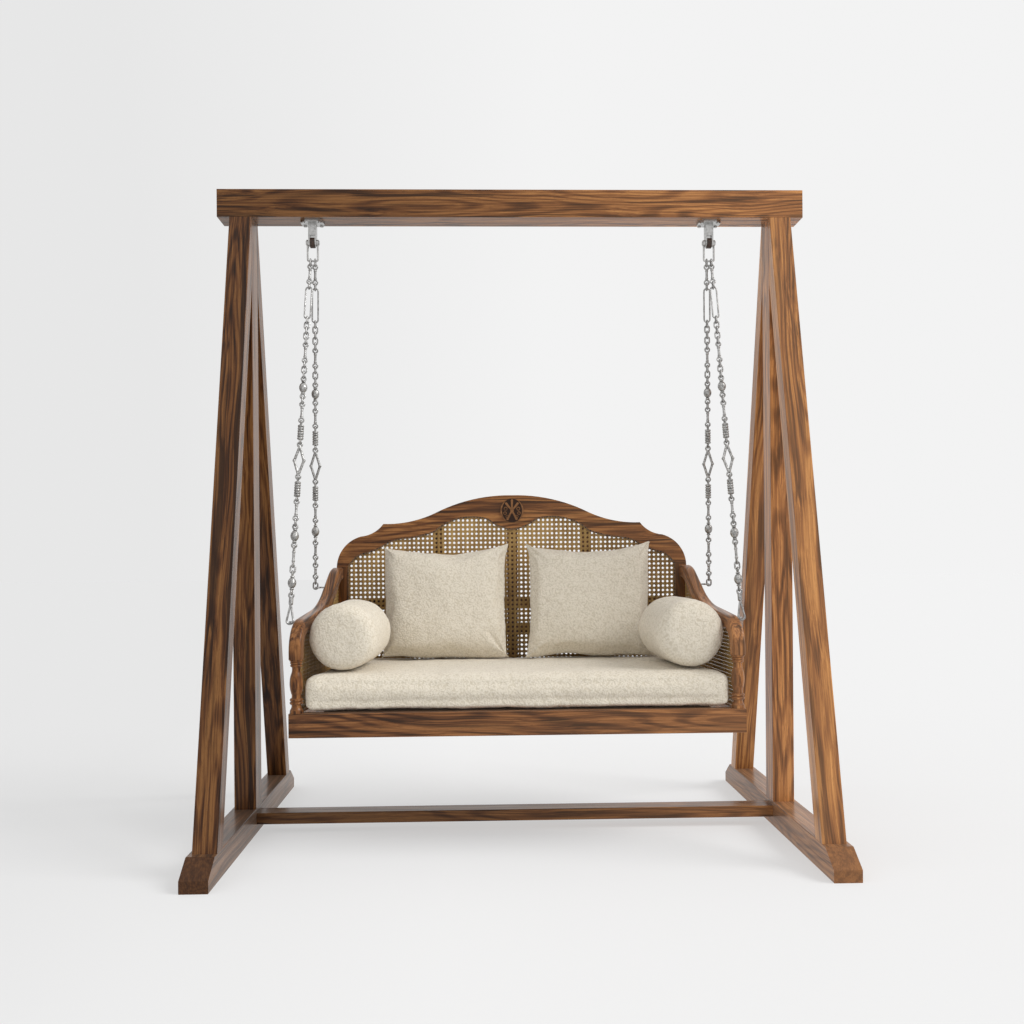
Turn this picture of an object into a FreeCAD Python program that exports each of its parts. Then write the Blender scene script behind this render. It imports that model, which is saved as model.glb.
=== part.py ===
"""A free-standing swing seat: a timber A-frame and a caned bench that hangs on four metal chains.

Lengths are millimetres. +X is to the right of someone who faces the seat, +Y points to the back
and +Z up. The origin is on the floor, under the middle of the top beam.
"""

import FreeCAD, Part
import math
import os
import re
from types import SimpleNamespace

import Sketcher
from FreeCAD import Placement, Rotation, Vector

# Driving dimensions, each written once.
SIZES = (
    # stand
    ("frame_height", 2090),
    ("beam_length", 1910),
    ("beam_depth", 100),
    ("beam_height", 90),
    ("clear_half", 845),
    ("post_width", 70),
    ("post_depth", 84),
    ("leg_width", 70),
    ("leg_depth", 62),
    ("leg_reach", 527),
    ("sill_length", 1240),
    ("sill_width", 80),
    ("sill_height", 80),
    ("sill_nose", 35),
    ("sill_chamfer", 70),
    ("stretcher_height", 37),
    ("stretcher_depth", 70),
    ("stretcher_drop", 14),
    ("stretcher_shoulder", 8),
    ("stretcher_tenon", 24),
    ("tenon_length", 20),
    ("tenon_shoulder", 16),
    ("joint_gap", 0.2),
    ("timber_edge", 2),
    # hanger bracket, bush, pin and shackle
    ("hanger_half", 655),
    ("flange_width", 74),
    ("flange_depth", 62),
    ("flange_thick", 8),
    ("flange_corner", 16),
    ("neck_width", 26),
    ("neck_depth", 26),
    ("slot_width", 16),
    ("slot_rise", 22),
    ("pin_drop", 70),
    ("pin_radius", 5),
    ("pin_head_radius", 6.5),
    ("pin_head_thick", 2),
    ("bush_radius", 17),
    ("running_gap", 0.05),
    ("side_gap", 0.3),
    ("shackle_wire", 3.2),
    ("shackle_eye_radius", 10),
    ("shackle_drop", 60),
    ("shackle_corner", 6),
    ("screw_radius", 3),
    ("screw_head_radius", 5.5),
    ("screw_head_thick", 3.5),
    ("screw_bite", 40),
    ("screw_across", 54),
    ("screw_deep", 42),
    # chains
    ("link_wire", 2.6),
    ("link_bore", 4.8),
    ("link_gap", 0.9),
    ("ring_pitch", 18),
    ("long_pitch", 104),
    ("long_bore", 7),
    ("bead_pitch", 68),
    ("bead_radius", 13),
    ("barrel_pitch", 72),
    ("barrel_radius", 10),
    ("diamond_pitch", 114),
    ("diamond_half", 15),
    ("short_rod_pitch", 48),
    ("hook_pitch", 90),
    ("hook_wire", 3),
    ("hook_bore", 7),
    ("rod_radius", 4.1),
    ("chain_apart", 15.2),
    ("eye_front_half", 694.5),
    ("eye_front_reach", 240),
    ("eye_front_level", 700),
    ("eye_rear_half", 676),
    ("eye_rear_reach", 130),
    ("eye_rear_level", 792),
    ("eye_ring", 8.2),
    ("eye_wire", 2.8),
    ("eye_shank", 2.8),
    # seat frame
    ("seat_height", 434),
    ("rail_half", 683),
    ("rail_height", 72),
    ("rail_thick", 38),
    ("bench_front", 335),
    ("side_rail_thick", 30),
    ("bearer_width", 34),
    ("bearer_height", 30),
    ("bearer_spread", 380),
    ("slat_thick", 14),
    ("slat_width", 82),
    ("slat_half", 585),
    # back
    ("back_face", 220),
    ("back_thick", 34),
    ("back_half", 616),
    ("stile_width", 38),
    ("shoulder_height", 861),
    ("crest_height", 1108),
    ("lower_rail_height", 50),
    ("lower_rail_level", 470),
    ("muntin_width", 36),
    ("muntin_spread", 262),
    ("cross_rail_height", 34),
    ("cross_rail_top", 742),
    ("cross_rail_step", 84),
    ("cane_setback", 7),
    ("cane_thick", 3),
    ("cane_pitch", 43),
    ("cane_hole", 26),
    ("spline_width", 5),
    ("rosette_radius", 41),
    ("rosette_level", 1054),
    ("rosette_relief", 4),
    # arms
    ("arm_front_half", 662),
    ("arm_rear_half", 612),
    ("arm_width", 38),
    ("arm_depth", 42),
    ("arm_edge", 8),
    ("arm_base", 594),
    ("arm_rear_level", 837),
    ("arm_bend_rear", 120),
    ("arm_bend_middle", 380),
    ("arm_bend_front", 76),
    ("post_radius", 20),
    ("spigot_radius", 9),
    ("spigot_length", 14),
    ("side_cane_pitch", 34),
    ("side_cane_hole", 20),
    # soft pieces
    ("soft_gap", 0.3),
    ("cushion_front_half", 640),
    ("cushion_rear_half", 592),
    ("cushion_front", 329),
    ("cushion_rear", 212),
    ("cushion_thick", 116),
    ("cushion_corner", 20),
    ("cushion_draw", 5),
    ("pillow_width", 452),
    ("pillow_height", 402),
    ("pillow_thick", 150),
    ("pillow_corner", 16),
    ("pillow_draw", 24),
    ("pillow_lean", 17),
    ("left_pillow_place", 233),
    ("right_pillow_place", 261),
    ("bolster_radius", 105),
    ("bolster_length", 300),
    ("bolster_round", 42),
    ("bolster_front", 290),
)

# Places worked out from the sizes.
PLACES = (
    ("beam_under", "frame_height - beam_height"),
    ("post_length", "beam_under - sill_height"),
    ("leg_run", "leg_reach - beam_depth / 2"),
    ("leg_meet", "sill_height + post_length * (leg_reach - leg_depth - post_depth / 2) / leg_run"),
    ("flange_under", "beam_under - flange_thick"),
    ("pin_level", "beam_under - pin_drop"),
    ("shackle_eye_thick", "2 * shackle_wire"),
    ("shackle_half", "neck_width / 2 + side_gap + shackle_wire"),
    ("shackle_outer", "shackle_half + shackle_wire"),
    ("bar_level", "pin_level - shackle_drop"),
    ("stretcher_base", "sill_height - stretcher_drop - stretcher_height"),
    ("rail_base", "seat_height - rail_height"),
    ("rail_back", "bench_front - rail_thick"),
    ("post_line", "bench_front - rail_thick / 2"),
    ("arm_taper", "(arm_front_half - arm_rear_half) / (back_face + post_line)"),
    ("side_front", "arm_front_half - arm_taper * (post_line - rail_back)"),
    ("stile_inner", "back_half - stile_width"),
    ("lower_rail_top", "lower_rail_level + lower_rail_height"),
    ("cane_face", "back_face + cane_setback"),
    ("cane_back", "cane_face + cane_thick"),
    ("slat_base", "seat_height - slat_thick"),
    ("slat_run", "rail_back + back_face"),
)

SHEET_OF = {alias: "sizes" for alias, _ in SIZES} | {alias: "places" for alias, _ in PLACES}

doc = FreeCAD.newDocument("jhoola_swing")


def tie(formula, home=""):
    """A formula in plain names, with the sheet that holds each name written before it."""

    def full(word):
        sheet = SHEET_OF.get(word.group(), home)
        return word.group() if sheet == home else f"{sheet}.{word.group()}"

    return re.sub(r"[a-z][a-z_]*", full, formula)


def fill_sheet(name, rows):
    sheet = doc.addObject("Spreadsheet::Sheet", name)
    for row, (alias, content) in enumerate(rows, start=1):
        sheet.set(f"A{row}", alias)
        sheet.set(f"B{row}", str(content))
        sheet.setAlias(f"B{row}", alias)
    doc.recompute()
    return sheet


sizes = fill_sheet("sizes", SIZES)
places = fill_sheet("places", [(alias, "=" + tie(formula, "places")) for alias, formula in PLACES])
at = SimpleNamespace(
    **{alias: float(doc.getObject(sheet).get(alias)) for alias, sheet in SHEET_OF.items()}
)

ALONG = {"X": Rotation(Vector(0, 1, 0), 90), "Y": Rotation(Vector(1, 0, 0), -90), "Z": Rotation()}
UP = Vector(0, 0, 1)
RIGHT = Vector(1, 0, 0)
BACK = Vector(0, 1, 0)
FRONT = Vector(0, -1, 0)
ORIGIN = Vector()
FLARE = math.degrees(math.atan(at.arm_taper))

sub_parts = []


def keep(label, obj):
    """Give a finished sub-part the label that names its file."""
    obj.Label = label
    sub_parts.append(obj)
    return obj


def bind(obj, formulas):
    for prop, formula in formulas.items():
        obj.setExpression(prop, tie(formula))
    return obj


def placed(obj, corner):
    return bind(obj, {f"Placement.Base.{axis}": part for axis, part in zip("xyz", corner)})


def box(name, corner, size):
    """A box from its low corner and its three sizes, all formulas."""
    obj = doc.addObject("Part::Box", name)
    bind(obj, {"Length": size[0], "Width": size[1], "Height": size[2]})
    return placed(obj, corner)


def rod(name, start, axis, radius, length):
    """A cylinder that runs from start along an axis."""
    obj = doc.addObject("Part::Cylinder", name)
    obj.Placement = Placement(ORIGIN, ALONG[axis])
    bind(obj, {"Radius": radius, "Height": length})
    return placed(obj, start)


def fused(name, *shapes):
    obj = doc.addObject("Part::MultiFuse", name)
    obj.Shapes = list(shapes)
    obj.Refine = True
    return obj


def group(name, *shapes):
    obj = doc.addObject("Part::Compound", name)
    obj.Links = list(shapes)
    return obj


def cut(name, base, *tools):
    obj = doc.addObject("Part::Cut", name)
    obj.Base = base
    obj.Tool = tools[0] if len(tools) == 1 else fused(name + "_tools", *tools)
    return obj


def mirrored(name, source, normal=RIGHT):
    obj = doc.addObject("Part::Mirroring", name)
    obj.Source = source
    obj.Normal = normal
    return obj


def modelled(name, shape):
    """A piece whose form only its own function can give."""
    obj = doc.addObject("Part::Feature", name)
    obj.Shape = shape
    return obj


def padded(name, plane, corners, start, length):
    """A body padded from a polygon whose corners are pairs of formulas in the plane."""
    body = doc.addObject("PartDesign::Body", name)
    sketch = body.newObject("Sketcher::SketchObject", name + "_outline")
    origin_plane = next(f for f in body.Origin.OriginFeatures if f.Role == plane)
    sketch.AttachmentSupport = [(origin_plane, "")]
    sketch.MapMode = "FlatFace"
    bind(sketch, {"AttachmentOffset.Base.z": start})
    count = len(corners)
    first = [Rotation(UP, 360 * i / count).multVec(RIGHT) for i in range(count)]
    sides = [Part.LineSegment(first[i], first[(i + 1) % count]) for i in range(count)]
    sketch.addGeometry(sides)
    sketch.addConstraint([Sketcher.Constraint("Coincident", i, 2, (i + 1) % count, 1) for i in range(count)])
    for i, corner in enumerate(corners):
        for way, guess, formula in zip(("DistanceX", "DistanceY"), first[i], corner):
            index = sketch.addConstraint(Sketcher.Constraint(way, -1, 1, i, 1, guess))
            bind(sketch, {f"Constraints[{index}]": formula})
    doc.recompute()
    pad = body.newObject("PartDesign::Pad", name + "_pad")
    pad.Profile = sketch
    bind(pad, {"Length": length})
    doc.recompute()
    return body


def eased(name, source, radius, along):
    """The source with the long edges that run along a direction rounded over."""
    doc.recompute()
    obj = doc.addObject("Part::Fillet", name)
    obj.Base = source
    picked = []
    for index, edge in enumerate(source.Shape.Edges, start=1):
        way = (edge.Vertexes[-1].Point - edge.Vertexes[0].Point).normalize()
        outer = edge.Length > min(at.post_depth, at.rail_thick)
        if outer and abs(way.dot(along)) > math.cos(math.radians(20)):
            picked.append((index, radius, radius))
    obj.Edges = picked
    return obj


def stand():
    """Beam, posts, legs, sills and stretcher."""
    tenon = (
        "post_width - 2 * tenon_shoulder",
        "post_depth - 2 * tenon_shoulder",
        "tenon_length",
    )
    mortise = (
        "post_width - 2 * tenon_shoulder + 2 * joint_gap",
        "post_depth - 2 * tenon_shoulder + 2 * joint_gap",
        "tenon_length + joint_gap",
    )
    tenon_x = "clear_half + tenon_shoulder"
    tenon_y = "tenon_shoulder - post_depth / 2"
    mortise_y = "tenon_shoulder - post_depth / 2 - joint_gap"

    blank = box(
        "beam_blank",
        ("-beam_length / 2", "-beam_depth / 2", "beam_under"),
        ("beam_length", "beam_depth", "beam_height"),
    )
    beam_mortise = box("beam_mortise", (tenon_x + " - joint_gap", mortise_y, "beam_under"), mortise)
    pilots = screw_rods("beam_pilot", "beam_under", "screw_radius + running_gap", "screw_bite")
    beam = cut(
        "beam_cut",
        eased("beam_eased", blank, at.timber_edge, RIGHT),
        beam_mortise,
        mirrored("beam_mortise_left", beam_mortise),
        *pilots,
        *[mirrored(pilot.Name + "_left", pilot) for pilot in pilots],
    )
    keep("top_beam", beam)

    post_blank = box(
        "post_blank",
        ("clear_half", "-post_depth / 2", "sill_height"),
        ("post_width", "post_depth", "post_length"),
    )
    post = fused(
        "post",
        eased("post_eased", post_blank, at.timber_edge, UP),
        box("post_foot_tenon", (tenon_x, tenon_y, "sill_height - tenon_length"), tenon),
        box("post_head_tenon", (tenon_x, tenon_y, "beam_under"), tenon),
    )
    keep("right_post", post)
    keep("left_post", mirrored("post_left", post))

    leg_corners = (
        ("-leg_reach", "sill_height"),
        ("leg_depth - leg_reach", "sill_height"),
        ("-post_depth / 2", "leg_meet"),
        ("-post_depth / 2", "beam_under"),
        ("-beam_depth / 2", "beam_under"),
    )
    leg_body = padded("leg_body", "YZ_Plane", leg_corners, "clear_half", "leg_width")
    leg = eased("leg", leg_body, at.timber_edge, UP)
    rear_leg = mirrored("leg_rear", leg, BACK)
    keep("right_front_leg", leg)
    keep("left_front_leg", mirrored("leg_front_left", leg))
    keep("right_rear_leg", rear_leg)
    keep("left_rear_leg", mirrored("leg_rear_left", rear_leg))

    sill_corners = (
        ("-sill_length / 2", "0"),
        ("sill_length / 2", "0"),
        ("sill_length / 2", "sill_nose"),
        ("sill_length / 2 - sill_chamfer", "sill_height"),
        ("sill_chamfer - sill_length / 2", "sill_height"),
        ("-sill_length / 2", "sill_nose"),
    )
    sill_body = padded("sill_body", "YZ_Plane", sill_corners, "clear_half", "sill_width")
    sill_mortise = box(
        "sill_mortise",
        (tenon_x + " - joint_gap", mortise_y, "sill_height - tenon_length - joint_gap"),
        mortise,
    )
    stretcher_mortise = box(
        "stretcher_mortise",
        (
            "clear_half",
            "stretcher_shoulder - stretcher_depth / 2 - joint_gap",
            "stretcher_base + stretcher_shoulder - joint_gap",
        ),
        (
            "stretcher_tenon + joint_gap",
            "stretcher_depth - 2 * stretcher_shoulder + 2 * joint_gap",
            "stretcher_height - 2 * stretcher_shoulder + 2 * joint_gap",
        ),
    )
    sill_eased = eased("sill_eased", sill_body, at.timber_edge, BACK)
    sill = cut("sill", sill_eased, sill_mortise, stretcher_mortise)
    keep("right_foot_sill", sill)
    keep("left_foot_sill", mirrored("sill_left", sill))

    stretcher_blank = box(
        "stretcher_blank",
        ("-clear_half", "-stretcher_depth / 2", "stretcher_base"),
        ("2 * clear_half", "stretcher_depth", "stretcher_height"),
    )
    stretcher_tongue = box(
        "stretcher_tongue",
        (
            "-clear_half - stretcher_tenon",
            "stretcher_shoulder - stretcher_depth / 2",
            "stretcher_base + stretcher_shoulder",
        ),
        (
            "2 * (clear_half + stretcher_tenon)",
            "stretcher_depth - 2 * stretcher_shoulder",
            "stretcher_height - 2 * stretcher_shoulder",
        ),
    )
    stretcher_bar = eased("stretcher_eased", stretcher_blank, at.timber_edge, RIGHT)
    keep("stretcher", fused("stretcher", stretcher_bar, stretcher_tongue))


def screw_rods(name, start, radius, length):
    """Four upright rods at the corners of the right flange's screw pattern."""
    rods = []
    for side in ("-", "+"):
        for end in ("-", "+"):
            centre = (f"hanger_half {side} screw_across / 2", f"0 {end} screw_deep / 2", start)
            rods.append(rod(f"{name}_{len(rods)}", centre, "Z", radius, length))
    return rods


def hangers():
    """Brackets and bushes under the beam, and the pins and shackles that turn in them."""
    half_w = "flange_width / 2"
    half_d = "flange_depth / 2"
    flange_corners = []
    for sx, sy in (("+", "-"), ("+", "+"), ("-", "+"), ("-", "-")):
        long_side = (f"hanger_half {sx} {half_w}", f"0 {sy} ({half_d} - flange_corner)")
        short_side = (f"hanger_half {sx} ({half_w} - flange_corner)", f"0 {sy} {half_d}")
        flange_corners += [long_side, short_side] if sx + sy in ("++", "--") else [short_side, long_side]
    flange = padded("flange", "XY_Plane", flange_corners, "flange_under", "flange_thick")
    neck = box(
        "neck",
        ("hanger_half - neck_width / 2", "-neck_depth / 2", "pin_level"),
        ("neck_width", "neck_depth", "flange_under - pin_level"),
    )
    ear_start = ("hanger_half - neck_width / 2", "0", "pin_level")
    ear = rod("ear", ear_start, "X", "neck_depth / 2", "neck_width")
    slot = box(
        "bush_slot",
        ("hanger_half - slot_width / 2", "-neck_depth", "pin_level - neck_depth"),
        ("slot_width", "2 * neck_depth", "neck_depth + slot_rise"),
    )
    bore = rod("ear_bore", ear_start, "X", "pin_radius + running_gap", "neck_width")
    flange_holes = screw_rods("flange_hole", "flange_under", "screw_radius + running_gap", "flange_thick")
    bracket = cut("bracket", fused("bracket_blank", flange, neck, ear), slot, bore, *flange_holes)
    keep("right_hanger_bracket", bracket)
    keep("left_hanger_bracket", mirrored("bracket_left", bracket))

    bush_start = ("hanger_half - slot_width / 2 + side_gap", "0", "pin_level")
    bush_length = "slot_width - 2 * side_gap"
    bush = cut(
        "bush",
        rod("bush_blank", bush_start, "X", "bush_radius", bush_length),
        rod("bush_bore", bush_start, "X", "pin_radius + running_gap", bush_length),
    )
    keep("right_hanger_bush", bush)
    keep("left_hanger_bush", mirrored("bush_left", bush))

    head_start = ("hanger_half - shackle_outer - side_gap - pin_head_thick", "0", "pin_level")
    tail_start = ("hanger_half + shackle_outer + side_gap", "0", "pin_level")
    pin = fused(
        "pin",
        rod("pin_shank", head_start, "X", "pin_radius", "2 * (shackle_outer + side_gap + pin_head_thick)"),
        rod("pin_head", head_start, "X", "pin_head_radius", "pin_head_thick"),
        rod("pin_tail", tail_start, "X", "pin_head_radius", "pin_head_thick"),
    )
    keep("right_hanger_pin", pin)
    keep("left_hanger_pin", mirrored("pin_left", pin))

    straight = "(shackle_half - shackle_corner)"
    bends = []
    for side, turn in (("-", 180), ("+", 0)):
        bend = doc.addObject("Part::Torus", f"shackle_bend_{len(bends)}")
        bend.Angle3 = 90
        bend.Placement = Placement(ORIGIN, Rotation(UP, turn).multiply(Rotation(RIGHT, -90)))
        bind(bend, {"Radius1": "shackle_corner", "Radius2": "shackle_wire"})
        bends.append(placed(bend, (f"hanger_half {side} {straight}", "0", "bar_level + shackle_corner")))
    bar_start = (f"hanger_half - {straight}", "0", "bar_level")
    bar = rod("shackle_bar", bar_start, "X", "shackle_wire", f"2 * {straight}")
    limbs = []
    bores = []
    for side in ("-", "+"):
        limb_start = (f"hanger_half {side} shackle_half", "0", "bar_level + shackle_corner")
        limb_length = "shackle_drop - shackle_corner"
        limbs.append(rod(f"shackle_limb_{len(limbs)}", limb_start, "Z", "shackle_wire", limb_length))
        eye_start = (f"hanger_half {side} shackle_half - shackle_wire", "0", "pin_level")
        eye_name = f"shackle_eye_{len(limbs)}"
        limbs.append(rod(eye_name, eye_start, "X", "shackle_eye_radius", "shackle_eye_thick"))
        bores.append(
            rod(f"shackle_bore_{len(limbs)}", eye_start, "X", "pin_radius + running_gap", "shackle_eye_thick")
        )
    shackle = cut("shackle", fused("shackle_blank", *bends, bar, *limbs), *bores)
    keep("right_shackle", shackle)
    keep("left_shackle", placed(group("shackle_left", shackle), ("-2 * hanger_half", "0", "0")))

    head_base = "flange_under - screw_head_thick"
    heads = screw_rods("screw_head", head_base, "screw_head_radius", "screw_head_thick")
    shank_length = "flange_thick + screw_bite - screw_radius"
    shanks = screw_rods("screw_shank", "flange_under", "screw_radius", shank_length)
    screws = [fused(f"screw_{i}", head, shank) for i, (head, shank) in enumerate(zip(heads, shanks))]
    screw_set = group("screw_set", *screws)
    keep("hanger_screws", group("hanger_screws", screw_set, mirrored("screw_set_left", screw_set)))


# Chain links hang from the origin down -Z, flat in the XZ plane, with a contact at each end.


def cylinder_between(start, end, radius):
    run = end - start
    return Part.makeCylinder(radius, run.Length, start, run)


def eye(level):
    """A round eye whose bore is centred on the Z axis at a level."""
    return Part.makeTorus(at.link_bore + at.link_wire, at.link_wire, Vector(0, 0, level), BACK)


def eye_levels(pitch, bore=at.link_bore):
    """Levels of the centres of a link's two bores, a small slack inside its contacts."""
    top = at.link_gap / 2 - bore
    return top, -pitch - top


def oval_link(pitch, bore=at.link_bore):
    """An oval ring swept in two halves."""
    wire = at.link_wire
    turn = bore + wire
    top, low = eye_levels(pitch, bore)
    mid = math.sqrt(0.5) * turn
    path = Part.Wire(
        [
            Part.Arc(Vector(0, 0, top + turn), Vector(mid, 0, top + mid), Vector(turn, 0, top)).toShape(),
            Part.makeLine(Vector(turn, 0, top), Vector(turn, 0, low)),
            Part.Arc(Vector(turn, 0, low), Vector(mid, 0, low - mid), Vector(0, 0, low - turn)).toShape(),
        ]
    )
    profile = Part.Wire(Part.makeCircle(wire, Vector(0, 0, top + turn), RIGHT))
    half = path.makePipeShell([profile], True, False)
    return half.fuse(half.mirror(ORIGIN, RIGHT)).removeSplitter()


def long_link(pitch):
    return oval_link(pitch, at.long_bore)


def between_eyes(pitch, body):
    """A link with an eye at each end and a body made between two levels."""
    top, low = eye_levels(pitch)
    reach = at.link_bore + at.link_wire
    return body(top - reach, low + reach).multiFuse([eye(top), eye(low)]).removeSplitter()


def turned(edges):
    """A solid turned about the Z axis from an outline in the XZ plane, closed along the axis."""
    wire = Part.Wire(edges)
    ends = wire.OrderedVertexes
    middles = [Vector(0, 0, end.Z) for end in (ends[-1], ends[0])]
    axis = Part.makePolygon([ends[-1].Point, *middles, ends[0].Point])
    return Part.Face(Part.Wire(edges + axis.Edges)).revolve(ORIGIN, UP, 360)


def bulge(start, crown, end):
    """One arc of a turned outline, from (radius, level) through a crown to an end."""
    points = [Vector(radius, 0, level) for radius, level in (start, crown, end)]
    return Part.Arc(*points).toShape()


def rod_link(pitch):
    def body(top, low):
        collar = at.rod_radius + at.link_wire / 2
        return cylinder_between(Vector(0, 0, top), Vector(0, 0, low), at.rod_radius).multiFuse(
            [Part.makeSphere(collar, Vector(0, 0, level)) for level in (top - collar, low + collar)]
        )

    return between_eyes(pitch, body)


def bead_link(pitch):
    """A long bead between two small collars."""

    def body(top, low):
        neck = at.rod_radius
        collar = (top - low) / 8
        middle = (top + low) / 2
        edges = [
            bulge((neck, top), (neck + at.link_wire, top - collar / 2), (neck, top - collar)),
            bulge((neck, top - collar), (at.bead_radius, middle), (neck, low + collar)),
            bulge((neck, low + collar), (neck + at.link_wire, low + collar / 2), (neck, low)),
        ]
        return turned(edges)

    return between_eyes(pitch, body)


BARREL_RIBS = 6


def barrel_link(pitch):
    def body(top, low):
        step = (top - low) / BARREL_RIBS
        root = at.barrel_radius - at.link_wire
        edges = []
        for rib in range(BARREL_RIBS):
            start = top - rib * step
            edges.append(bulge((root, start), (at.barrel_radius, start - step / 2), (root, start - step)))
        return turned(edges)

    return between_eyes(pitch, body)


def diamond_link(pitch):
    """A lozenge of four bars with a knob at each side corner."""

    def body(top, low):
        middle = (top + low) / 2
        ends = (Vector(0, 0, top + at.link_wire), Vector(0, 0, low - at.link_wire))
        solids = []
        for side in (-1, 1):
            corner = Vector(side * at.diamond_half, 0, middle)
            solids += [cylinder_between(end, corner, at.rod_radius) for end in ends]
            solids.append(Part.makeSphere(at.rod_radius + at.link_wire / 2, corner))
        return solids[0].multiFuse(solids[1:])

    return between_eyes(pitch, body)


def hook_link(pitch):
    """A swivel eye, a collar and a teardrop loop that holds an eye bolt."""
    top = at.link_gap / 2 - at.link_bore
    wire = at.hook_wire
    turn = at.hook_bore + wire
    low = -pitch - at.link_gap / 2 + at.hook_bore
    neck = Vector(0, 0, top - at.link_bore - at.link_wire)
    throat = Vector(0, 0, neck.z - pitch / 5)
    lean = math.asin(turn / (throat.z - low))

    def round_loop(angle):
        return Vector(turn * math.cos(angle), 0, low + turn * math.sin(angle))

    side = round_loop(lean)
    rim = round_loop(0)
    bow = Part.Wire(
        [
            Part.makeLine(throat, side),
            Part.Arc(side, round_loop(lean / 2), rim).toShape(),
            Part.Arc(rim, round_loop(-math.pi / 4), Vector(0, 0, low - turn)).toShape(),
        ]
    )
    profile = Part.Wire(Part.makeCircle(wire, throat, side - throat))
    half = bow.makePipeShell([profile], True, False)
    collar = cylinder_between(neck, throat, at.rod_radius + at.link_wire)
    return half.multiFuse(
        [half.mirror(ORIGIN, RIGHT), collar, Part.makeSphere(at.rod_radius + at.link_wire, throat), eye(top)]
    ).removeSplitter()


LINKS = {
    "ring": (oval_link, at.ring_pitch, "rings"),
    "long": (long_link, at.long_pitch, "rings"),
    "rod": (rod_link, None, "rods"),
    "short": (rod_link, at.short_rod_pitch, "rods"),
    "bead": (bead_link, at.bead_pitch, "ornaments"),
    "barrel": (barrel_link, at.barrel_pitch, "ornaments"),
    "diamond": (diamond_link, at.diamond_pitch, "ornaments"),
    "hook": (hook_link, at.hook_pitch, "hook"),
}
UPPER_LINKS = (
    "ring rod ring long ring ring ring ring ring rod ring ring ring bead ring rod barrel diamond barrel rod"
)
FRONT_LINKS = (UPPER_LINKS + " ring bead rod ring bead hook").split()
REAR_LINKS = (UPPER_LINKS + " bead rod ring short ring ring").split()


def chain(corner, links, top, bottom):
    """One hanging chain: links alternate by a quarter turn, and rods fill the length left over."""
    fall = (bottom - top).normalize()
    start = top - fall * at.shackle_wire
    length = (bottom - start).Length + at.eye_wire
    fixed = sum(LINKS[kind][1] or 0 for kind in links)
    rod_pitch = (length - fixed) / links.count("rod")
    hung = Placement(start, Rotation(-UP, fall))
    made = {}
    level = 0
    for place, kind in enumerate(links):
        make, pitch, family = LINKS[kind]
        pitch = pitch or rod_pitch
        shape = make(pitch)
        quarter = 0 if place % 2 else 90
        shape.Placement = hung.multiply(Placement(Vector(0, 0, -level), Rotation(UP, quarter)))
        made.setdefault(family, []).append(shape)
        level += pitch
    print(corner, "chain", round(length, 1), "rod pitch", round(rod_pitch, 1))
    for family, shapes in made.items():
        name = f"{corner}_{family}" if family == "hook" else f"{corner}_chain_{family}"
        solid = shapes[0] if len(shapes) == 1 else Part.makeCompound(shapes)
        right = modelled(name + "_solid", solid)
        keep("right_" + name, right)
        keep("left_" + name, mirrored(name + "_left", right))


def chains():
    """Front and rear chains hang side by side from each shackle."""
    step = at.chain_apart / 2
    front_top = Vector(at.hanger_half + step, 0, at.bar_level)
    rear_top = Vector(at.hanger_half - step, 0, at.bar_level)
    front_eye = Vector(at.eye_front_half, -at.eye_front_reach, at.eye_front_level)
    rear_eye = Vector(at.eye_rear_half, at.eye_rear_reach, at.eye_rear_level)
    chain("front", FRONT_LINKS, front_top, front_eye)
    chain("rear", REAR_LINKS, rear_top, rear_eye)


def side_placed(shape):
    """Carry a shape from the right arm's own frame, which starts at the arm post, to its place."""
    carried = Placement(Vector(at.arm_front_half, -at.post_line, 0), Rotation(UP, FLARE))
    shape.Placement = carried.multiply(shape.Placement)
    return shape


def rounded_path(points, bends):
    """Straight runs joined by tangent arcs of the given radii."""
    edges = []
    start = points[0]
    for before, corner, after, radius in zip(points, points[1:], points[2:], bends):
        way_in = (corner - before).normalize()
        way_out = (after - corner).normalize()
        turn = math.acos(way_in.dot(way_out))
        tangent = radius * math.tan(turn / 2)
        arc_start = corner - way_in * tangent
        arc_end = corner + way_out * tangent
        towards = (way_out - way_in).normalize()
        middle = corner + towards * (radius / math.cos(turn / 2) - radius)
        edges.append(Part.makeLine(start, arc_start))
        edges.append(Part.Arc(arc_start, middle, arc_end).toShape())
        start = arc_end
    edges.append(Part.makeLine(start, points[-1]))
    return Part.Wire(edges)


def rounded_rectangle(width, depth, radius):
    """A closed wire about the origin in the XY plane."""
    x, y = width / 2, depth / 2
    corners = [Vector(x, -y, 0), Vector(x, y, 0), Vector(-x, y, 0), Vector(-x, -y, 0)]
    middle_of_side = Vector(0, -y, 0)
    points = [middle_of_side] + corners + [middle_of_side]
    return rounded_path(points, [radius] * len(corners))


# Corners of the arm's middle line, from the post up and back: shares of its run and its rise.
ARM_LINE_SHARES = ((0, 0), (0, 0.367), (0.597, 0.502), (0.946, 1), (1.08, 1))


def arm_line():
    run = (at.back_face + at.post_line) / math.cos(math.radians(FLARE))
    rise = at.arm_rear_level - at.arm_base
    return [Vector(0, run * back, at.arm_base + rise * up) for back, up in ARM_LINE_SHARES]


def behind_back_face():
    """Everything behind the front face of the back, as a block to cut with."""
    block = Part.makeBox(2 * at.back_half, at.back_face, at.crest_height)
    block.translate(Vector(0, at.back_face, 0))
    return block


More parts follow.
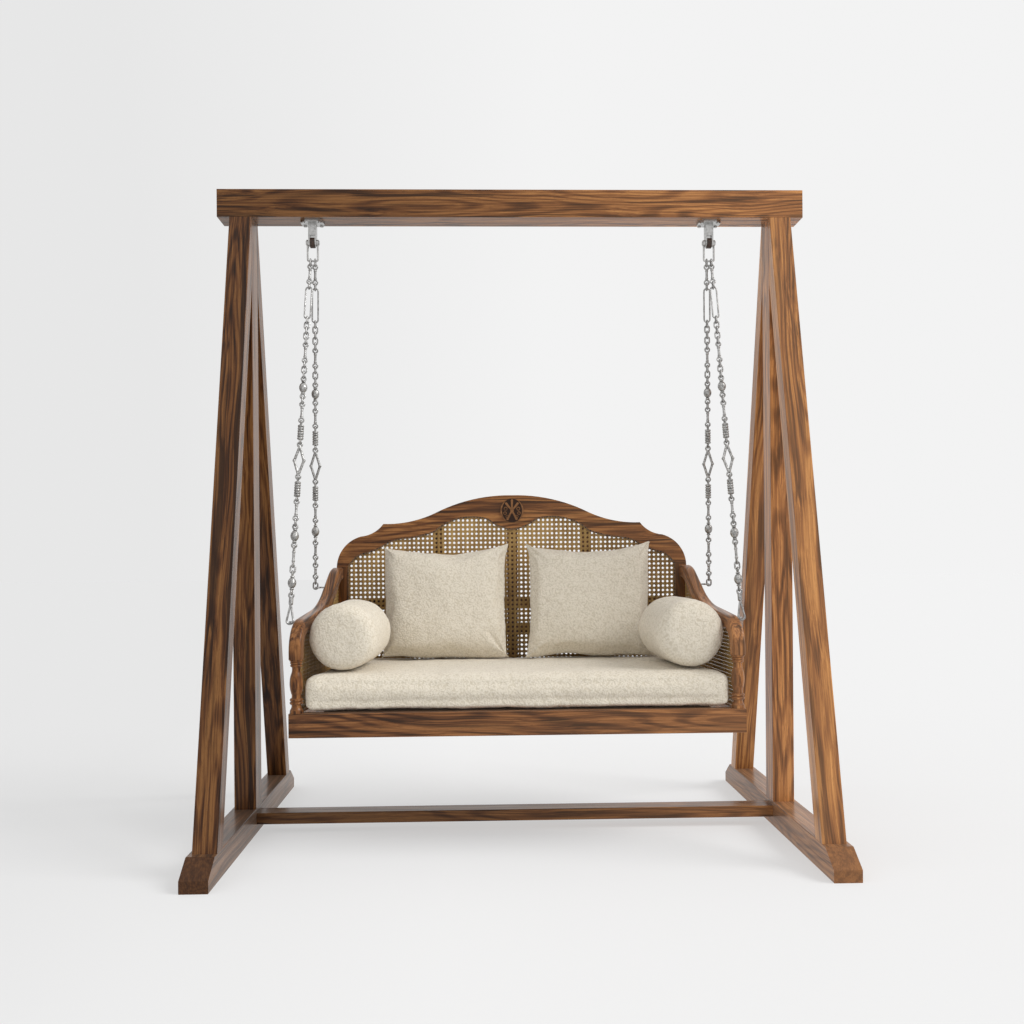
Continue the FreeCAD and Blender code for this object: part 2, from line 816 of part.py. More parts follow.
# Radius of the turned arm post as shares of its largest, at shares of its height, bottom to top.
# Each row is an arc's middle and end.
POST_FOOT_SHARES = (1, 0)
POST_ARC_SHARES = (
    ((1.0, 0.03), (0.96, 0.06)),
    ((0.78, 0.10), (0.75, 0.16)),
    ((1.0, 0.19), (0.74, 0.22)),
    ((0.98, 0.25), (0.72, 0.28)),
    ((0.70, 0.31), (0.72, 0.35)),
    ((0.99, 0.53), (0.68, 0.76)),
    ((0.62, 0.81), (0.66, 0.86)),
    ((0.88, 0.885), (0.68, 0.91)),
    ((0.90, 0.935), (0.72, 0.96)),
    ((0.98, 0.975), (0.98, 1.0)),
)


def arm_post():
    height = at.arm_base - at.seat_height

    def point(shares):
        return Vector(at.post_radius * shares[0], 0, height * shares[1])

    edges = []
    start = point(POST_FOOT_SHARES)
    for middle, end in POST_ARC_SHARES:
        start_again = point(end)
        straight = abs((point(middle) - start).cross(start_again - start).Length) < 1e-6
        if straight:
            edge = Part.makeLine(start, start_again)
        else:
            edge = Part.Arc(start, point(middle), start_again).toShape()
        edges.append(edge)
        start = start_again
    post = turned(edges)
    peg = cylinder_between(
        Vector(0, 0, -at.spigot_length), Vector(0, 0, height + at.spigot_length), at.spigot_radius
    )
    post = post.fuse(peg).removeSplitter()
    post.translate(Vector(0, 0, at.seat_height))
    return side_placed(post)


def arm():
    section = rounded_rectangle(at.arm_width, at.arm_depth, at.arm_edge)
    section.translate(Vector(0, 0, at.arm_base))
    bends = (at.arm_bend_front, at.arm_bend_middle, at.arm_bend_rear)
    blank = rounded_path(arm_line(), bends).makePipeShell([section], True, False)
    peg_hole = cylinder_between(
        Vector(0, 0, at.arm_base),
        Vector(0, 0, at.arm_base + at.spigot_length + at.joint_gap),
        at.spigot_radius + at.joint_gap,
    )
    blank = side_placed(blank.cut(peg_hole))
    holes = [eye_shank(front, at.eye_shank + at.joint_gap, at.joint_gap) for front in (True, False)]
    return blank.cut(behind_back_face()).cut(holes[0]).cut(holes[1])


def arm_face(reach_back):
    """How far out the arm's outer face stands at a distance behind the origin."""
    middle = at.arm_front_half - at.arm_taper * (at.post_line + reach_back)
    return middle + at.arm_width / 2 / math.cos(math.radians(FLARE))


def eye_place(front):
    if front:
        return Vector(at.eye_front_half, -at.eye_front_reach, at.eye_front_level)
    return Vector(at.eye_rear_half, at.eye_rear_reach, at.eye_rear_level)


def eye_shank(front, radius, overrun):
    """The round shank that runs from an eye bolt's ring into the arm."""
    place = eye_place(front)
    tip = Vector(arm_face(place.y) - 0.7 * at.arm_width - overrun, place.y, place.z)
    root = Vector(place.x - 2 * at.eye_ring, place.y, place.z)
    return cylinder_between(tip, root, radius)


def eye_bolt(front):
    place = eye_place(front)
    centre = place - RIGHT * at.eye_ring
    ring = Part.makeTorus(at.eye_ring, at.eye_wire, centre, UP)
    return ring.fuse(eye_shank(front, at.eye_shank, 0)).removeSplitter()


def side_panel(arm_shape):
    """The cane under an arm: it fills the space between side rail, arm and stile."""
    line = arm_line()
    low = Vector(0, at.arm_depth / 2, at.seat_height)
    far = Vector(0, line[-1].y, at.seat_height)
    bends = (at.arm_bend_front, at.arm_bend_middle, at.arm_bend_rear)
    top = rounded_path(line, bends)
    closing = Part.makePolygon([line[-1], far, Vector(0, 0, at.seat_height), line[0]])
    sheet = Part.Face(Part.Wire(top.Edges + closing.Edges)).extrude(RIGHT * at.cane_thick)
    sheet.translate(RIGHT * (-at.cane_thick / 2))
    ahead = Part.makeBox(at.arm_width, low.y, at.arm_rear_level)
    ahead.translate(Vector(-at.arm_width / 2, 0, 0))
    sheet = side_placed(sheet.cut(ahead)).cut(arm_shape).cut(behind_back_face())
    sheet = max(sheet.Solids, key=lambda solid: solid.Volume)
    return sheet.cut(Part.makeCompound(side_holes(line)))


def side_holes(line):
    """Square holes of the side cane, in rows under the arm."""
    holes = []
    step = at.side_cane_pitch
    size = at.side_cane_hole
    clear = at.arm_depth
    rows = int((at.arm_rear_level - at.seat_height) / step)
    columns = int(line[-1].y / step)
    for column in range(columns):
        y = at.arm_depth + column * step
        for row in range(rows):
            z = at.seat_height + (row + 0.6) * step
            if z + size + clear > level_on(line, y) or y + size + step > line[-2].y:
                continue
            hole = Part.makeBox(4 * at.cane_thick, size, size)
            hole.translate(Vector(-2 * at.cane_thick, y, z))
            holes.append(side_placed(hole))
    return holes


def level_on(line, y):
    """Level of a line of points at a distance along it."""
    for low, high in zip(line[1:], line[2:]):
        if low.y <= y <= high.y:
            return low.z + (high.z - low.z) * (y - low.y) / (high.y - low.y)
    return line[-1].z


def arms():
    post = modelled("arm_post", arm_post())
    keep("right_arm_post", post)
    keep("left_arm_post", mirrored("arm_post_left", post))
    arm_shape = arm()
    right = modelled("arm", arm_shape)
    keep("right_armrest", right)
    keep("left_armrest", mirrored("arm_left", right))
    panel = modelled("side_panel", side_panel(arm_shape))
    keep("right_side_cane", panel)
    keep("left_side_cane", mirrored("side_panel_left", panel))
    bolts = modelled("eye_bolts_right", Part.makeCompound([eye_bolt(True), eye_bolt(False)]))
    keep("eye_bolts", group("eye_bolts", bolts, mirrored("eye_bolts_left", bolts)))


# Half outlines of the crest from the shoulder to the middle: shares of the back's half width and of
# the crest's rise above the shoulder. Each row is an arc's middle and its end.
CREST_OUTER_SHARES = (
    ((0.965, 0.25), (0.862, 0.427)),
    ((0.795, 0.474), (0.734, 0.603)),
    ((0.591, 0.630), (0.445, 0.745)),
    ((0.225, 0.944), (0, 1)),
)
CREST_INNER_SHARES = (
    ((0.905, 0.115), (0.854, 0.19)),
    ((0.78, 0.248), (0.716, 0.336)),
    ((0.67, 0.382), (0.591, 0.409)),
    ((0.515, 0.447), (0.445, 0.50)),
    ((0.24, 0.706), (0.137, 0.672)),
    ((0.07, 0.57), (0, 0.526)),
)


def half_outline(start, rows):
    """Arcs in the XZ plane from a start point, on the right half."""
    rise = at.crest_height - at.shoulder_height

    def point(shares):
        return Vector(at.back_half * shares[0], 0, at.shoulder_height + rise * shares[1])

    edges = []
    for middle, end in rows:
        edges.append(Part.Arc(start, point(middle), point(end)).toShape())
        start = point(end)
    return edges


def both_halves(edges):
    """A half outline with its mirror image, in order from left to right."""
    other = [edge.mirror(ORIGIN, RIGHT) for edge in edges]
    return Part.Wire(Part.__sortEdges__(other + edges))


def outer_curve():
    return both_halves(half_outline(Vector(at.back_half, 0, at.shoulder_height), CREST_OUTER_SHARES))


def inner_curve():
    return both_halves(half_outline(Vector(at.stile_inner, 0, at.shoulder_height), CREST_INNER_SHARES))


def opening_face(inset=0):
    """The opening of the back frame, from the lower rail to the crest."""
    low = at.lower_rail_top
    x = at.stile_inner
    shoulder = at.shoulder_height
    sides = Part.makePolygon(
        [Vector(-x, 0, shoulder), Vector(-x, 0, low), Vector(x, 0, low), Vector(x, 0, shoulder)]
    )
    wire = Part.Wire(Part.__sortEdges__(inner_curve().Edges + sides.Edges))
    if inset:
        wire = wire.makeOffset2D(-inset)
    return Part.Face(wire)


def slab(face, front, thick):
    """A face of the XZ plane made into a slab that starts at a distance back."""
    solid = face.extrude(BACK * thick)
    solid.translate(BACK * front)
    return solid


def crest():
    shoulder = at.shoulder_height
    ends = [
        Part.makeLine(Vector(side * at.stile_inner, 0, shoulder), Vector(side * at.back_half, 0, shoulder))
        for side in (-1, 1)
    ]
    wire = Part.Wire(Part.__sortEdges__(outer_curve().Edges + inner_curve().Edges + ends))
    solid = slab(Part.Face(wire), at.back_face, at.back_thick)
    for side in (-1, 1):
        solid = solid.cut(stile_tongue(side, at.joint_gap))
    return solid


def stile_tongue(side, grow=0):
    """The tenon on top of a stile, or with some growth its mortise."""
    width = at.stile_width / 2 + 2 * grow
    thick = at.back_thick / 3 + 2 * grow
    tongue = Part.makeBox(width, thick, at.tenon_length + grow)
    across = side * (at.back_half - at.stile_width / 2)
    middle = Vector(across, at.back_face + at.back_thick / 2, at.shoulder_height)
    tongue.translate(middle - Vector(width / 2, thick / 2, 0))
    return tongue


def cane_sheet(face, pitch, hole):
    """A face with a grid of eight-sided holes kept clear of its edge."""
    bounds = face.BoundBox
    columns = int(bounds.XLength / 2 / pitch)
    rows = int(bounds.ZLength / pitch)
    ring = Part.makeCircle(hole / 2, ORIGIN, BACK)
    corners = ring.discretize(9)
    holes = []
    for column in range(-columns, columns + 1):
        for row in range(rows + 1):
            centre = Vector(column * pitch, 0, bounds.ZMin + (row + 0.5) * pitch)
            reach = [centre + corner * 1.25 for corner in corners]
            if all(face.isInside(point, at.joint_gap, False) for point in reach):
                holes.append(Part.makePolygon([centre + corner for corner in corners]))
    print("cane holes", len(holes))
    return Part.makeFace([face.OuterWire] + holes, "Part::FaceMakerBullseye")


# Limbs of the rosette: direction in degrees from upright and length as a share of the radius, and
# the half width of every limb at its root and at its round end, as shares of the radius.
LIMB_SHARES = ((0, 0.97), (-39, 0.88), (39, 0.88), (-152, 0.92), (152, 0.92))
LIMB_ROOT_SHARE = 0.06
LIMB_END_SHARE = 0.1

# Crescents of the rosette: half their angle, and the inner edge as a share of the radius.
CRESCENT_REACH = math.radians(62)
CRESCENT_INNER_SHARE = 0.86

# Side scrolls of the rosette: centre across and up, and outer radius, as shares of the radius.
SCROLL_SHARES = ((0.54, 0.16, 0.17), (0.60, -0.22, 0.15), (0.42, -0.52, 0.13))

# A scroll's eye as a share of its radius and its height as a share of the relief, and the boss in
# the middle as a share of the rosette's radius.
SCROLL_EYE_SHARE = 0.55
SCROLL_HEIGHT_SHARE = 0.85
BOSS_SHARE = 0.15


def rosette_arc(side):
    """A raised crescent along one side of the rosette."""
    radius = at.rosette_radius

    def arc(size, turn):
        points = [Vector(side * size * math.cos(angle), 0, size * math.sin(angle)) for angle in turn]
        return Part.Arc(*points).toShape()

    outer = arc(radius, (-CRESCENT_REACH, 0, CRESCENT_REACH))
    inner_middle = Vector(side * CRESCENT_INNER_SHARE * radius, 0, 0)
    inner = Part.Arc(outer.Vertexes[-1].Point, inner_middle, outer.Vertexes[0].Point).toShape()
    return Part.Face(Part.Wire([outer, inner]))


def rosette_limb(lean, share):
    """A narrow limb that widens from the middle of the rosette to a round end."""
    radius = at.rosette_radius
    narrow, wide = LIMB_ROOT_SHARE * radius, LIMB_END_SHARE * radius
    length = share * radius
    root = [Vector(side * narrow, 0, 0) for side in (-1, 1)]
    end = [Vector(side * wide, 0, length - wide) for side in (-1, 1)]
    edges = [
        Part.makeLine(*root),
        Part.makeLine(root[1], end[1]),
        Part.Arc(end[1], Vector(0, 0, length), end[0]).toShape(),
        Part.makeLine(end[0], root[0]),
    ]
    limb = Part.Face(Part.Wire(edges))
    limb.rotate(ORIGIN, BACK, lean)
    return limb


def rosette():
    """A carved round: an upright and four crossing limbs between two crescents, with small scrolls."""
    radius = at.rosette_radius
    relief = at.rosette_relief
    centre = Vector(0, at.back_face, at.rosette_level)
    proud = [rosette_arc(side).extrude(FRONT * relief) for side in (1, -1)]
    proud += [rosette_limb(lean, share).extrude(FRONT * relief) for lean, share in LIMB_SHARES]
    proud.append(Part.makeCylinder(BOSS_SHARE * radius, relief, ORIGIN, FRONT))
    for side in (1, -1):
        for across, up, share in SCROLL_SHARES:
            spot = Vector(side * across * radius, 0, up * radius)
            curl = Part.makeCylinder(share * radius, SCROLL_HEIGHT_SHARE * relief, spot, FRONT)
            proud.append(curl.cut(Part.makeCylinder(SCROLL_EYE_SHARE * share * radius, relief, spot, FRONT)))
    disc = Part.makeCylinder(radius, relief / 4, ORIGIN, FRONT)
    carved = disc.multiFuse(proud).removeSplitter()
    carved.translate(centre)
    return carved


def back():
    """The framed cane back with its muntins, and the rosette on its crest."""
    keep("crest_rail", modelled("crest", crest()))
    stile_blank = box(
        "stile_blank",
        ("stile_inner", "back_face", "rail_base"),
        ("stile_width", "back_thick", "shoulder_height - rail_base"),
    )
    stile = fused(
        "stile",
        eased("stile_eased", stile_blank, at.timber_edge, UP),
        modelled("stile_tongue", stile_tongue(1)),
    )
    keep("right_stile", stile)
    keep("left_stile", mirrored("stile_left", stile))
    rail_size = ("2 * stile_inner", "back_thick", "lower_rail_height")
    keep("back_lower_rail", box("lower_rail", ("-stile_inner", "back_face", "lower_rail_level"), rail_size))

    opening = opening_face()
    space = modelled("opening", slab(opening, at.back_face, at.back_thick))
    muntin_height = "crest_height - lower_rail_top"
    muntin_size = ("muntin_width", "back_face + back_thick - cane_back", muntin_height)
    muntins = []
    for place in ("-muntin_spread", "0", "muntin_spread"):
        corner = (f"{place} - muntin_width / 2", "cane_back", "lower_rail_top")
        muntin = doc.addObject("Part::MultiCommon", f"muntin_{len(muntins)}")
        muntin.Shapes = [box(f"muntin_blank_{len(muntins)}", corner, muntin_size), space]
        muntins.append(muntin)
    muntin_set = keep("back_muntins", group("muntins", *muntins))
    bars = []
    upper_level = "cross_rail_top - cross_rail_height"
    for level in (upper_level, upper_level + " - cross_rail_step"):
        bar_size = ("2 * stile_inner", "back_face + back_thick - cane_back", "cross_rail_height")
        bars.append(box(f"cross_bar_{len(bars)}", ("-stile_inner", "cane_back", level), bar_size))
    keep("back_cross_rails", cut("cross_rails", group("cross_bars", *bars), muntin_set))

    sheet = cane_sheet(opening, at.cane_pitch, at.cane_hole)
    keep("back_cane", modelled("cane", slab(sheet, at.cane_face, at.cane_thick)))
    bead = slab(opening, at.cane_face - at.spline_width, at.spline_width)
    bead = bead.cut(slab(opening_face(at.spline_width), at.cane_face - at.spline_width, at.spline_width))
    keep("cane_spline", modelled("cane_spline", bead))
    keep("crest_rosette", modelled("rosette", rosette()))


def seat_frame():
    """Front, rear and side rails, bearers and slats."""
    front_blank = box(
        "front_rail_blank",
        ("-rail_half", "-bench_front", "rail_base"),
        ("2 * rail_half", "rail_thick", "rail_height"),
    )
    sockets = [
        rod(
            f"post_socket_{side}",
            (f"{sign}arm_front_half", "-post_line", "seat_height - spigot_length - joint_gap"),
            "Z",
            "spigot_radius + joint_gap",
            "spigot_length + joint_gap",
        )
        for side, sign in (("right", ""), ("left", "-"))
    ]
    front = cut("front_rail", eased("front_rail_eased", front_blank, at.timber_edge, RIGHT), *sockets)
    keep("front_rail", front)
    rear_size = ("2 * stile_inner", "back_thick", "rail_height")
    keep("rear_rail", box("rear_rail", ("-stile_inner", "back_face", "rail_base"), rear_size))
    half = "side_rail_thick / 2"
    corners = (
        (f"side_front - {half}", "-rail_back"),
        (f"side_front + {half}", "-rail_back"),
        (f"arm_rear_half + {half}", "back_face"),
        (f"arm_rear_half - {half}", "back_face"),
    )
    side = padded("side_rail", "XY_Plane", corners, "rail_base", "rail_height")
    keep("right_side_rail", side)
    keep("left_side_rail", mirrored("side_rail_left", side))

    bearers = []
    for place in ("-bearer_spread", "0", "bearer_spread"):
        corner = (f"{place} - bearer_width / 2", "-rail_back", "slat_base - bearer_height")
        bearers.append(box(f"bearer_{len(bearers)}", corner, ("bearer_width", "slat_run", "bearer_height")))
    keep("seat_bearers", group("bearers", *bearers))
    slats = []
    slat_count = 5
    for place in range(slat_count):
        start = f"(slat_run - slat_width) * {place} / {slat_count - 1} - rail_back"
        slat_size = ("2 * slat_half", "slat_width", "slat_thick")
        slats.append(box(f"slat_{place}", ("-slat_half", start, "slat_base"), slat_size))
    keep("seat_slats", group("slats", *slats))


def soft_ring(corners, cut_back, draw):
    """A closed wire of four drawn-in sides and four round corners about a quadrilateral."""
    middle = sum(corners, Vector()) * (1 / len(corners))
    nearest_share = math.sqrt(2) - 1
    stops = []
    for before, corner, after in zip(corners[-1:] + corners[:-1], corners, corners[1:] + corners[:1]):
        arrive = corner + (before - corner).normalize() * cut_back
        leave = corner + (after - corner).normalize() * cut_back
        inward = ((arrive + leave) * 0.5 - corner).normalize()
        stops.append((arrive, corner + inward * (cut_back * nearest_share), leave))
    edges = []
    for (arrive, tip, leave), (next_arrive, _, _) in zip(stops, stops[1:] + stops[:1]):
        edges.append(Part.Arc(arrive, tip, leave).toShape())
        halfway = (leave + next_arrive) * 0.5
        inward = (middle - halfway).normalize()
        edges.append(Part.Arc(leave, halfway + inward * draw, next_arrive).toShape())
    return Part.Wire(edges)


# The seat cushion's crown: inset as a share of its thickness, at shares of its height.
CUSHION_SHARES = ((0.09, 0), (0.02, 0.09), (0, 0.35), (0.01, 0.72), (0.06, 0.89), (0.2, 0.96), (0.9, 1))


def seat_cushion():
    rings = []
    for inset_share, up_share in CUSHION_SHARES:
        inset = inset_share * at.cushion_thick
        level = at.seat_height + at.soft_gap + up_share * at.cushion_thick
        corners = [
            Vector(-at.cushion_front_half + inset, -at.cushion_front + inset, level),
            Vector(at.cushion_front_half - inset, -at.cushion_front + inset, level),
            Vector(at.cushion_rear_half - inset, at.cushion_rear - inset, level),
            Vector(-at.cushion_rear_half + inset, at.cushion_rear - inset, level),
        ]
        rings.append(soft_ring(corners, at.cushion_corner, at.cushion_draw))
    return Part.makeLoft(rings, True, True)


# A pillow's swelling: size as a share of its outline, at shares of its half thickness.
PILLOW_SHARES = ((1, 0), (0.965, 0.24), (0.86, 0.54), (0.68, 0.80), (0.42, 0.95), (0.16, 1))


def pillow():
    """A square pillow upright in the XZ plane with its seam at the origin."""
    rings = []
    for size, depth in PILLOW_SHARES:
        x = size * at.pillow_width / 2
        z = size * at.pillow_height / 2
        y = depth * at.pillow_thick / 2
        corners = [Vector(-x, y, -z), Vector(x, y, -z), Vector(x, y, z), Vector(-x, y, z)]
        rings.append(soft_ring(corners, size * at.pillow_corner, size * size * at.pillow_draw))
    half = Part.makeLoft(rings, True, False)
    return half.fuse(half.mirror(ORIGIN, BACK)).Solids[0]


def bolster():
    """A round bolster along Y with domed ends."""
    radius = at.bolster_radius
    end = at.bolster_round
    half = at.bolster_length / 2
    edges = [
        bulge((radius / 2, half), (radius - 0.3 * end, half - 0.3 * end), (radius, half - end)),
        Part.makeLine(Vector(radius, 0, half - end), Vector(radius, 0, end - half)),
        bulge((radius, end - half), (radius - 0.3 * end, 0.3 * end - half), (radius / 2, -half)),
    ]
    solid = turned(edges)
    solid.rotate(ORIGIN, RIGHT, 90)
    return solid


def rested(shape, carrier, way):
    """Move a soft piece until it lies the soft gap away from what carries it."""
    for _ in range(12):
        spare = shape.distToShape(carrier)[0] - at.soft_gap
        if abs(spare) < at.soft_gap / 10:
            break
        shape.translate(way * spare)
    return shape


def soft_pieces():
    cushion = seat_cushion()
    keep("seat_cushion", modelled("cushion", cushion))
    back_corner = Vector(-at.back_half, at.back_face, 0)
    backing = Part.makeBox(2 * at.back_half, at.back_thick, at.crest_height, back_corner)
    top = at.seat_height + at.cushion_thick
    for side, place in (("left", -at.left_pillow_place), ("right", at.right_pillow_place)):
        shape = pillow()
        shape.rotate(ORIGIN, RIGHT, -at.pillow_lean)
        shape.translate(Vector(place, at.back_face - at.pillow_height / 2, top + at.pillow_height * 0.7))
        shape = rested(shape, backing, BACK)
        shape = rested(shape, cushion, -UP)
        keep(f"{side}_pillow", modelled(f"pillow_{side}", shape))
    right = bolster()
    right.rotate(ORIGIN, UP, FLARE)
    reach = at.bolster_length / 2 - at.bolster_front
    clear = at.arm_width / 2 + at.bolster_radius + 2 * at.soft_gap
    x = at.arm_front_half - at.arm_taper * (at.post_line + reach) - clear / math.cos(math.radians(FLARE))
    right.translate(Vector(x, reach, top + 2 * at.bolster_radius))
    right = rested(right, cushion, -UP)
    bolster_right = modelled("bolster", right)
    keep("right_bolster", bolster_right)
    keep("left_bolster", mirrored("bolster_left", bolster_right))


stand()
hangers()
chains()
seat_frame()
back()
arms()
soft_pieces()
doc.recompute()

for obj in doc.Objects:
    if "Invalid" in obj.State or "Error" in obj.State:
        raise RuntimeError(f"{obj.Name} failed: {obj.State}")

os.makedirs("parts", exist_ok=True)
for obj in sub_parts:
    shape = obj.Shape
    if shape.isNull() or not shape.isValid() or not shape.Solids:
        raise RuntimeError(f"{obj.Label} has no sound shape")
for obj in sub_parts:
    obj.Shape.exportStep(f"parts/{obj.Label}.step")
print(len(sub_parts), "sub-parts written")
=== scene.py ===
"""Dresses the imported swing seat: wood, woven cane, upholstery, metal, light and camera.

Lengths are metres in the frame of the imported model: +X to the right, +Y to the back, +Z up.
"""

import math

import bmesh
import bpy
from mathutils import Euler, Matrix, Vector, noise


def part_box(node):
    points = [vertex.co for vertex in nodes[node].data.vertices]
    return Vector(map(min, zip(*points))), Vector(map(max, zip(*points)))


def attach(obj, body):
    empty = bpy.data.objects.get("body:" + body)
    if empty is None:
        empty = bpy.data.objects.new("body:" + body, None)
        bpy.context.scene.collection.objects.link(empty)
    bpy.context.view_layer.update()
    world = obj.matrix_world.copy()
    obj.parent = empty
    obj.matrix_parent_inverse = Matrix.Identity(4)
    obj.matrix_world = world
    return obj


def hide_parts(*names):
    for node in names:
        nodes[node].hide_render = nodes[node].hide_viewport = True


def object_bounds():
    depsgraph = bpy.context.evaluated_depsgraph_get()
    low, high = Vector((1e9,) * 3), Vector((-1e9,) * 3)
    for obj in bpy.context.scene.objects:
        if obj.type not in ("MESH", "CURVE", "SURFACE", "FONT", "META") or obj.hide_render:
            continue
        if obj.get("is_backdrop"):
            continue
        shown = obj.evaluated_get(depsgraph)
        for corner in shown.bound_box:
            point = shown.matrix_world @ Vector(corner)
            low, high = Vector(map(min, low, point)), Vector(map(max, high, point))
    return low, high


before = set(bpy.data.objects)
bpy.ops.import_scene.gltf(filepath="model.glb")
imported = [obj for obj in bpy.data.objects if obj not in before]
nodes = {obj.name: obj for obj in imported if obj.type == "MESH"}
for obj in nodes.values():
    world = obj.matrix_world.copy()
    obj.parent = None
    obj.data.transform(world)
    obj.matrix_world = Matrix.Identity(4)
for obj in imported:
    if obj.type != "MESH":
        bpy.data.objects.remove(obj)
cad_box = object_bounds()

MM = 0.001
BENCH = "bench"

# Camera: where it stands, how it is turned, and its view, from the photograph's vanishing lines.
IMAGE_WIDTH = 1024
CAMERA_PLACE = (-0.1037, -3.3656, 0.914)
CAMERA_YAW = math.radians(1.6415)
CAMERA_ROLL = math.radians(0.445)
CAMERA_FOCAL_PIXELS = 1018.0
CAMERA_HORIZON_DROP = 38.3
SENSOR_WIDTH = 36

# Measures of the part's source that the woven and upholstered pieces follow.
BACK_HALF = 0.616
STILE_INNER = 0.578
SHOULDER_HEIGHT = 0.861
CREST_HEIGHT = 1.108
LOWER_RAIL_TOP = 0.52
CANE_FACE = 0.227
CANE_THICK = 0.003
ARM_FRONT_HALF = 0.662
ARM_REAR_HALF = 0.612
POST_LINE = 0.316
BACK_FACE = 0.22
SEAT_HEIGHT = 0.434
ARM_BASE = 0.594
ARM_REAR_LEVEL = 0.837
ARM_HALF_DEPTH = 0.021
ROSETTE_RELIEF = 0.0042
PILLOW_LEAN = math.radians(17)
ARM_FLARE = math.atan((ARM_FRONT_HALF - ARM_REAR_HALF) / (BACK_FACE + POST_LINE))

# The crest's inner curve from the shoulder to the middle: an arc's middle and end in each row, as
# shares of the back's half width and of the crest's rise above the shoulder.
CREST_INNER_SHARES = (
    ((0.905, 0.115), (0.854, 0.19)),
    ((0.78, 0.248), (0.716, 0.336)),
    ((0.67, 0.382), (0.591, 0.409)),
    ((0.515, 0.447), (0.445, 0.50)),
    ((0.24, 0.706), (0.137, 0.672)),
    ((0.07, 0.57), (0, 0.526)),
)

# Corners of the arm's middle line as shares of its run and its rise.
ARM_LINE_SHARES = ((0, 0), (0, 0.367), (0.597, 0.502), (0.946, 1), (1.02, 1))

# How far behind the arm post's line the grain has turned from upright to along the arm.
ARM_GRAIN_TURN = 1.6 * ARM_HALF_DEPTH


class Graph:
    """The node graph of a new material, built round its main shader."""

    def __init__(self, name):
        self.material = bpy.data.materials.new(name)
        self.material.use_nodes = True
        self.tree = self.material.node_tree
        self.shader = next(n for n in self.tree.nodes if n.type == "BSDF_PRINCIPLED")

    def add(self, kind, inputs=None, out=0, **settings):
        """A node with its settings and inputs; returns one of its outputs."""
        node = self.tree.nodes.new("ShaderNode" + kind)
        for key, value in settings.items():
            setattr(node, key, value)
        for key, value in (inputs or {}).items():
            self.feed(node.inputs[key], value)
        return node.outputs[out]

    def feed(self, socket, value):
        if isinstance(value, bpy.types.NodeSocket):
            self.tree.links.new(value, socket)
        else:
            socket.default_value = value

    def math(self, operation, first, second=0.0, clamp=False):
        return self.add("Math", {0: first, 1: second}, operation=operation, use_clamp=clamp)

    def blend(self, share, first, second, mode="MIX"):
        """A colour blend of two colours or sockets."""
        node = self.tree.nodes.new("ShaderNodeMix")
        node.data_type = "RGBA"
        node.blend_type = mode
        self.feed(node.inputs[0], share)
        self.feed(node.inputs[6], first)
        self.feed(node.inputs[7], second)
        return node.outputs[2]

    def ramp(self, share, stops):
        """A colour ramp of (place, colour) stops."""
        stops = tuple(stops)
        node = self.tree.nodes.new("ShaderNodeValToRGB")
        marks = node.color_ramp.elements
        while len(marks) < len(stops):
            marks.new(1.0)
        for mark, (place, colour) in zip(marks, stops):
            mark.position = place
            mark.color = (*colour, 1)
        self.feed(node.inputs[0], share)
        return node.outputs[0]

    def noise(self, place, scale, detail=2.0, rough=0.5):
        inputs = {"Vector": place, "Scale": scale, "Detail": detail, "Roughness": rough}
        return self.add("TexNoise", inputs)

    def drift(self, place, scale, detail, reach):
        """A place pushed about by a slow noise, by up to half the reach each way."""
        push = self.add("TexNoise", {"Vector": place, "Scale": scale, "Detail": detail}, out="Color")
        push = self.add("VectorMath", {0: push, 1: (0.5, 0.5, 0.5)}, operation="SUBTRACT")
        return self.add("VectorMath", {0: push, 1: reach}, operation="MULTIPLY")

    def stretched(self, place, scale, detail, rough):
        """Noise with its own scale along each axis."""
        return self.noise(self.add("Mapping", {"Vector": place, "Scale": scale}), 1.0, detail, rough)

    def span(self, value, low, high, new_low=0.0, new_high=1.0):
        """A value's range mapped to a new one and held inside it."""
        inputs = {"Value": value, "From Min": low, "From Max": high}
        return self.add("MapRange", {**inputs, "To Min": new_low, "To Max": new_high})

    def finish(self, colour, rough, height=None, relief=0.5, reach=MM, settings=None):
        """Feed the shader; settings are plain values for its own sockets, by their names."""
        self.feed(self.shader.inputs["Base Color"], colour)
        self.feed(self.shader.inputs["Roughness"], rough)
        if height is not None:
            bump = self.add("Bump", {"Height": height, "Strength": relief, "Distance": reach})
            self.feed(self.shader.inputs["Normal"], bump)
        for key, value in (settings or {}).items():
            self.shader.inputs[key].default_value = value
        return self.material


# Wood tones, light to dark.
GOLDEN_TONES = ((0.44, 0.205, 0.066), (0.27, 0.112, 0.033), (0.145, 0.053, 0.017), (0.032, 0.012, 0.005))
BROWN_TONES = ((0.46, 0.205, 0.065), (0.245, 0.094, 0.029), (0.105, 0.037, 0.012), (0.016, 0.006, 0.003))
RUSSET_TONES = ((0.39, 0.170, 0.058), (0.21, 0.082, 0.027), (0.090, 0.033, 0.012), (0.015, 0.006, 0.003))
DARK_TONES = ((0.22, 0.083, 0.021), (0.115, 0.041, 0.010), (0.060, 0.021, 0.005), (0.016, 0.006, 0.003))
SHADED_TONES = ((0.13, 0.055, 0.02), (0.075, 0.03, 0.012), (0.04, 0.015, 0.007), (0.012, 0.005, 0.003))

# Painted light: the timber is painted darker at the left end of the stand and paler to the right,
# where the key light falls, as in the photograph: factors at both ends, how far out the ends are,
# and the tone that the right end takes on.
STAND_CAST = (0.5, 1.75)
LOW_CAST = (0.35, 1.05)
BENCH_CAST = (0.85, 1.6)
CREST_CAST = (0.85, 1.25)
EVEN_CAST = (1.0, 1.0)
CAST_REACH = 0.85
PAINTED_LIGHT_TONE = (0.36, 0.195, 0.098, 1)

# How late the painted light sets in, and how far it goes to that tone.
CAST_POWER = 1.6
PAINTED_LIGHT_SHARE = 0.25

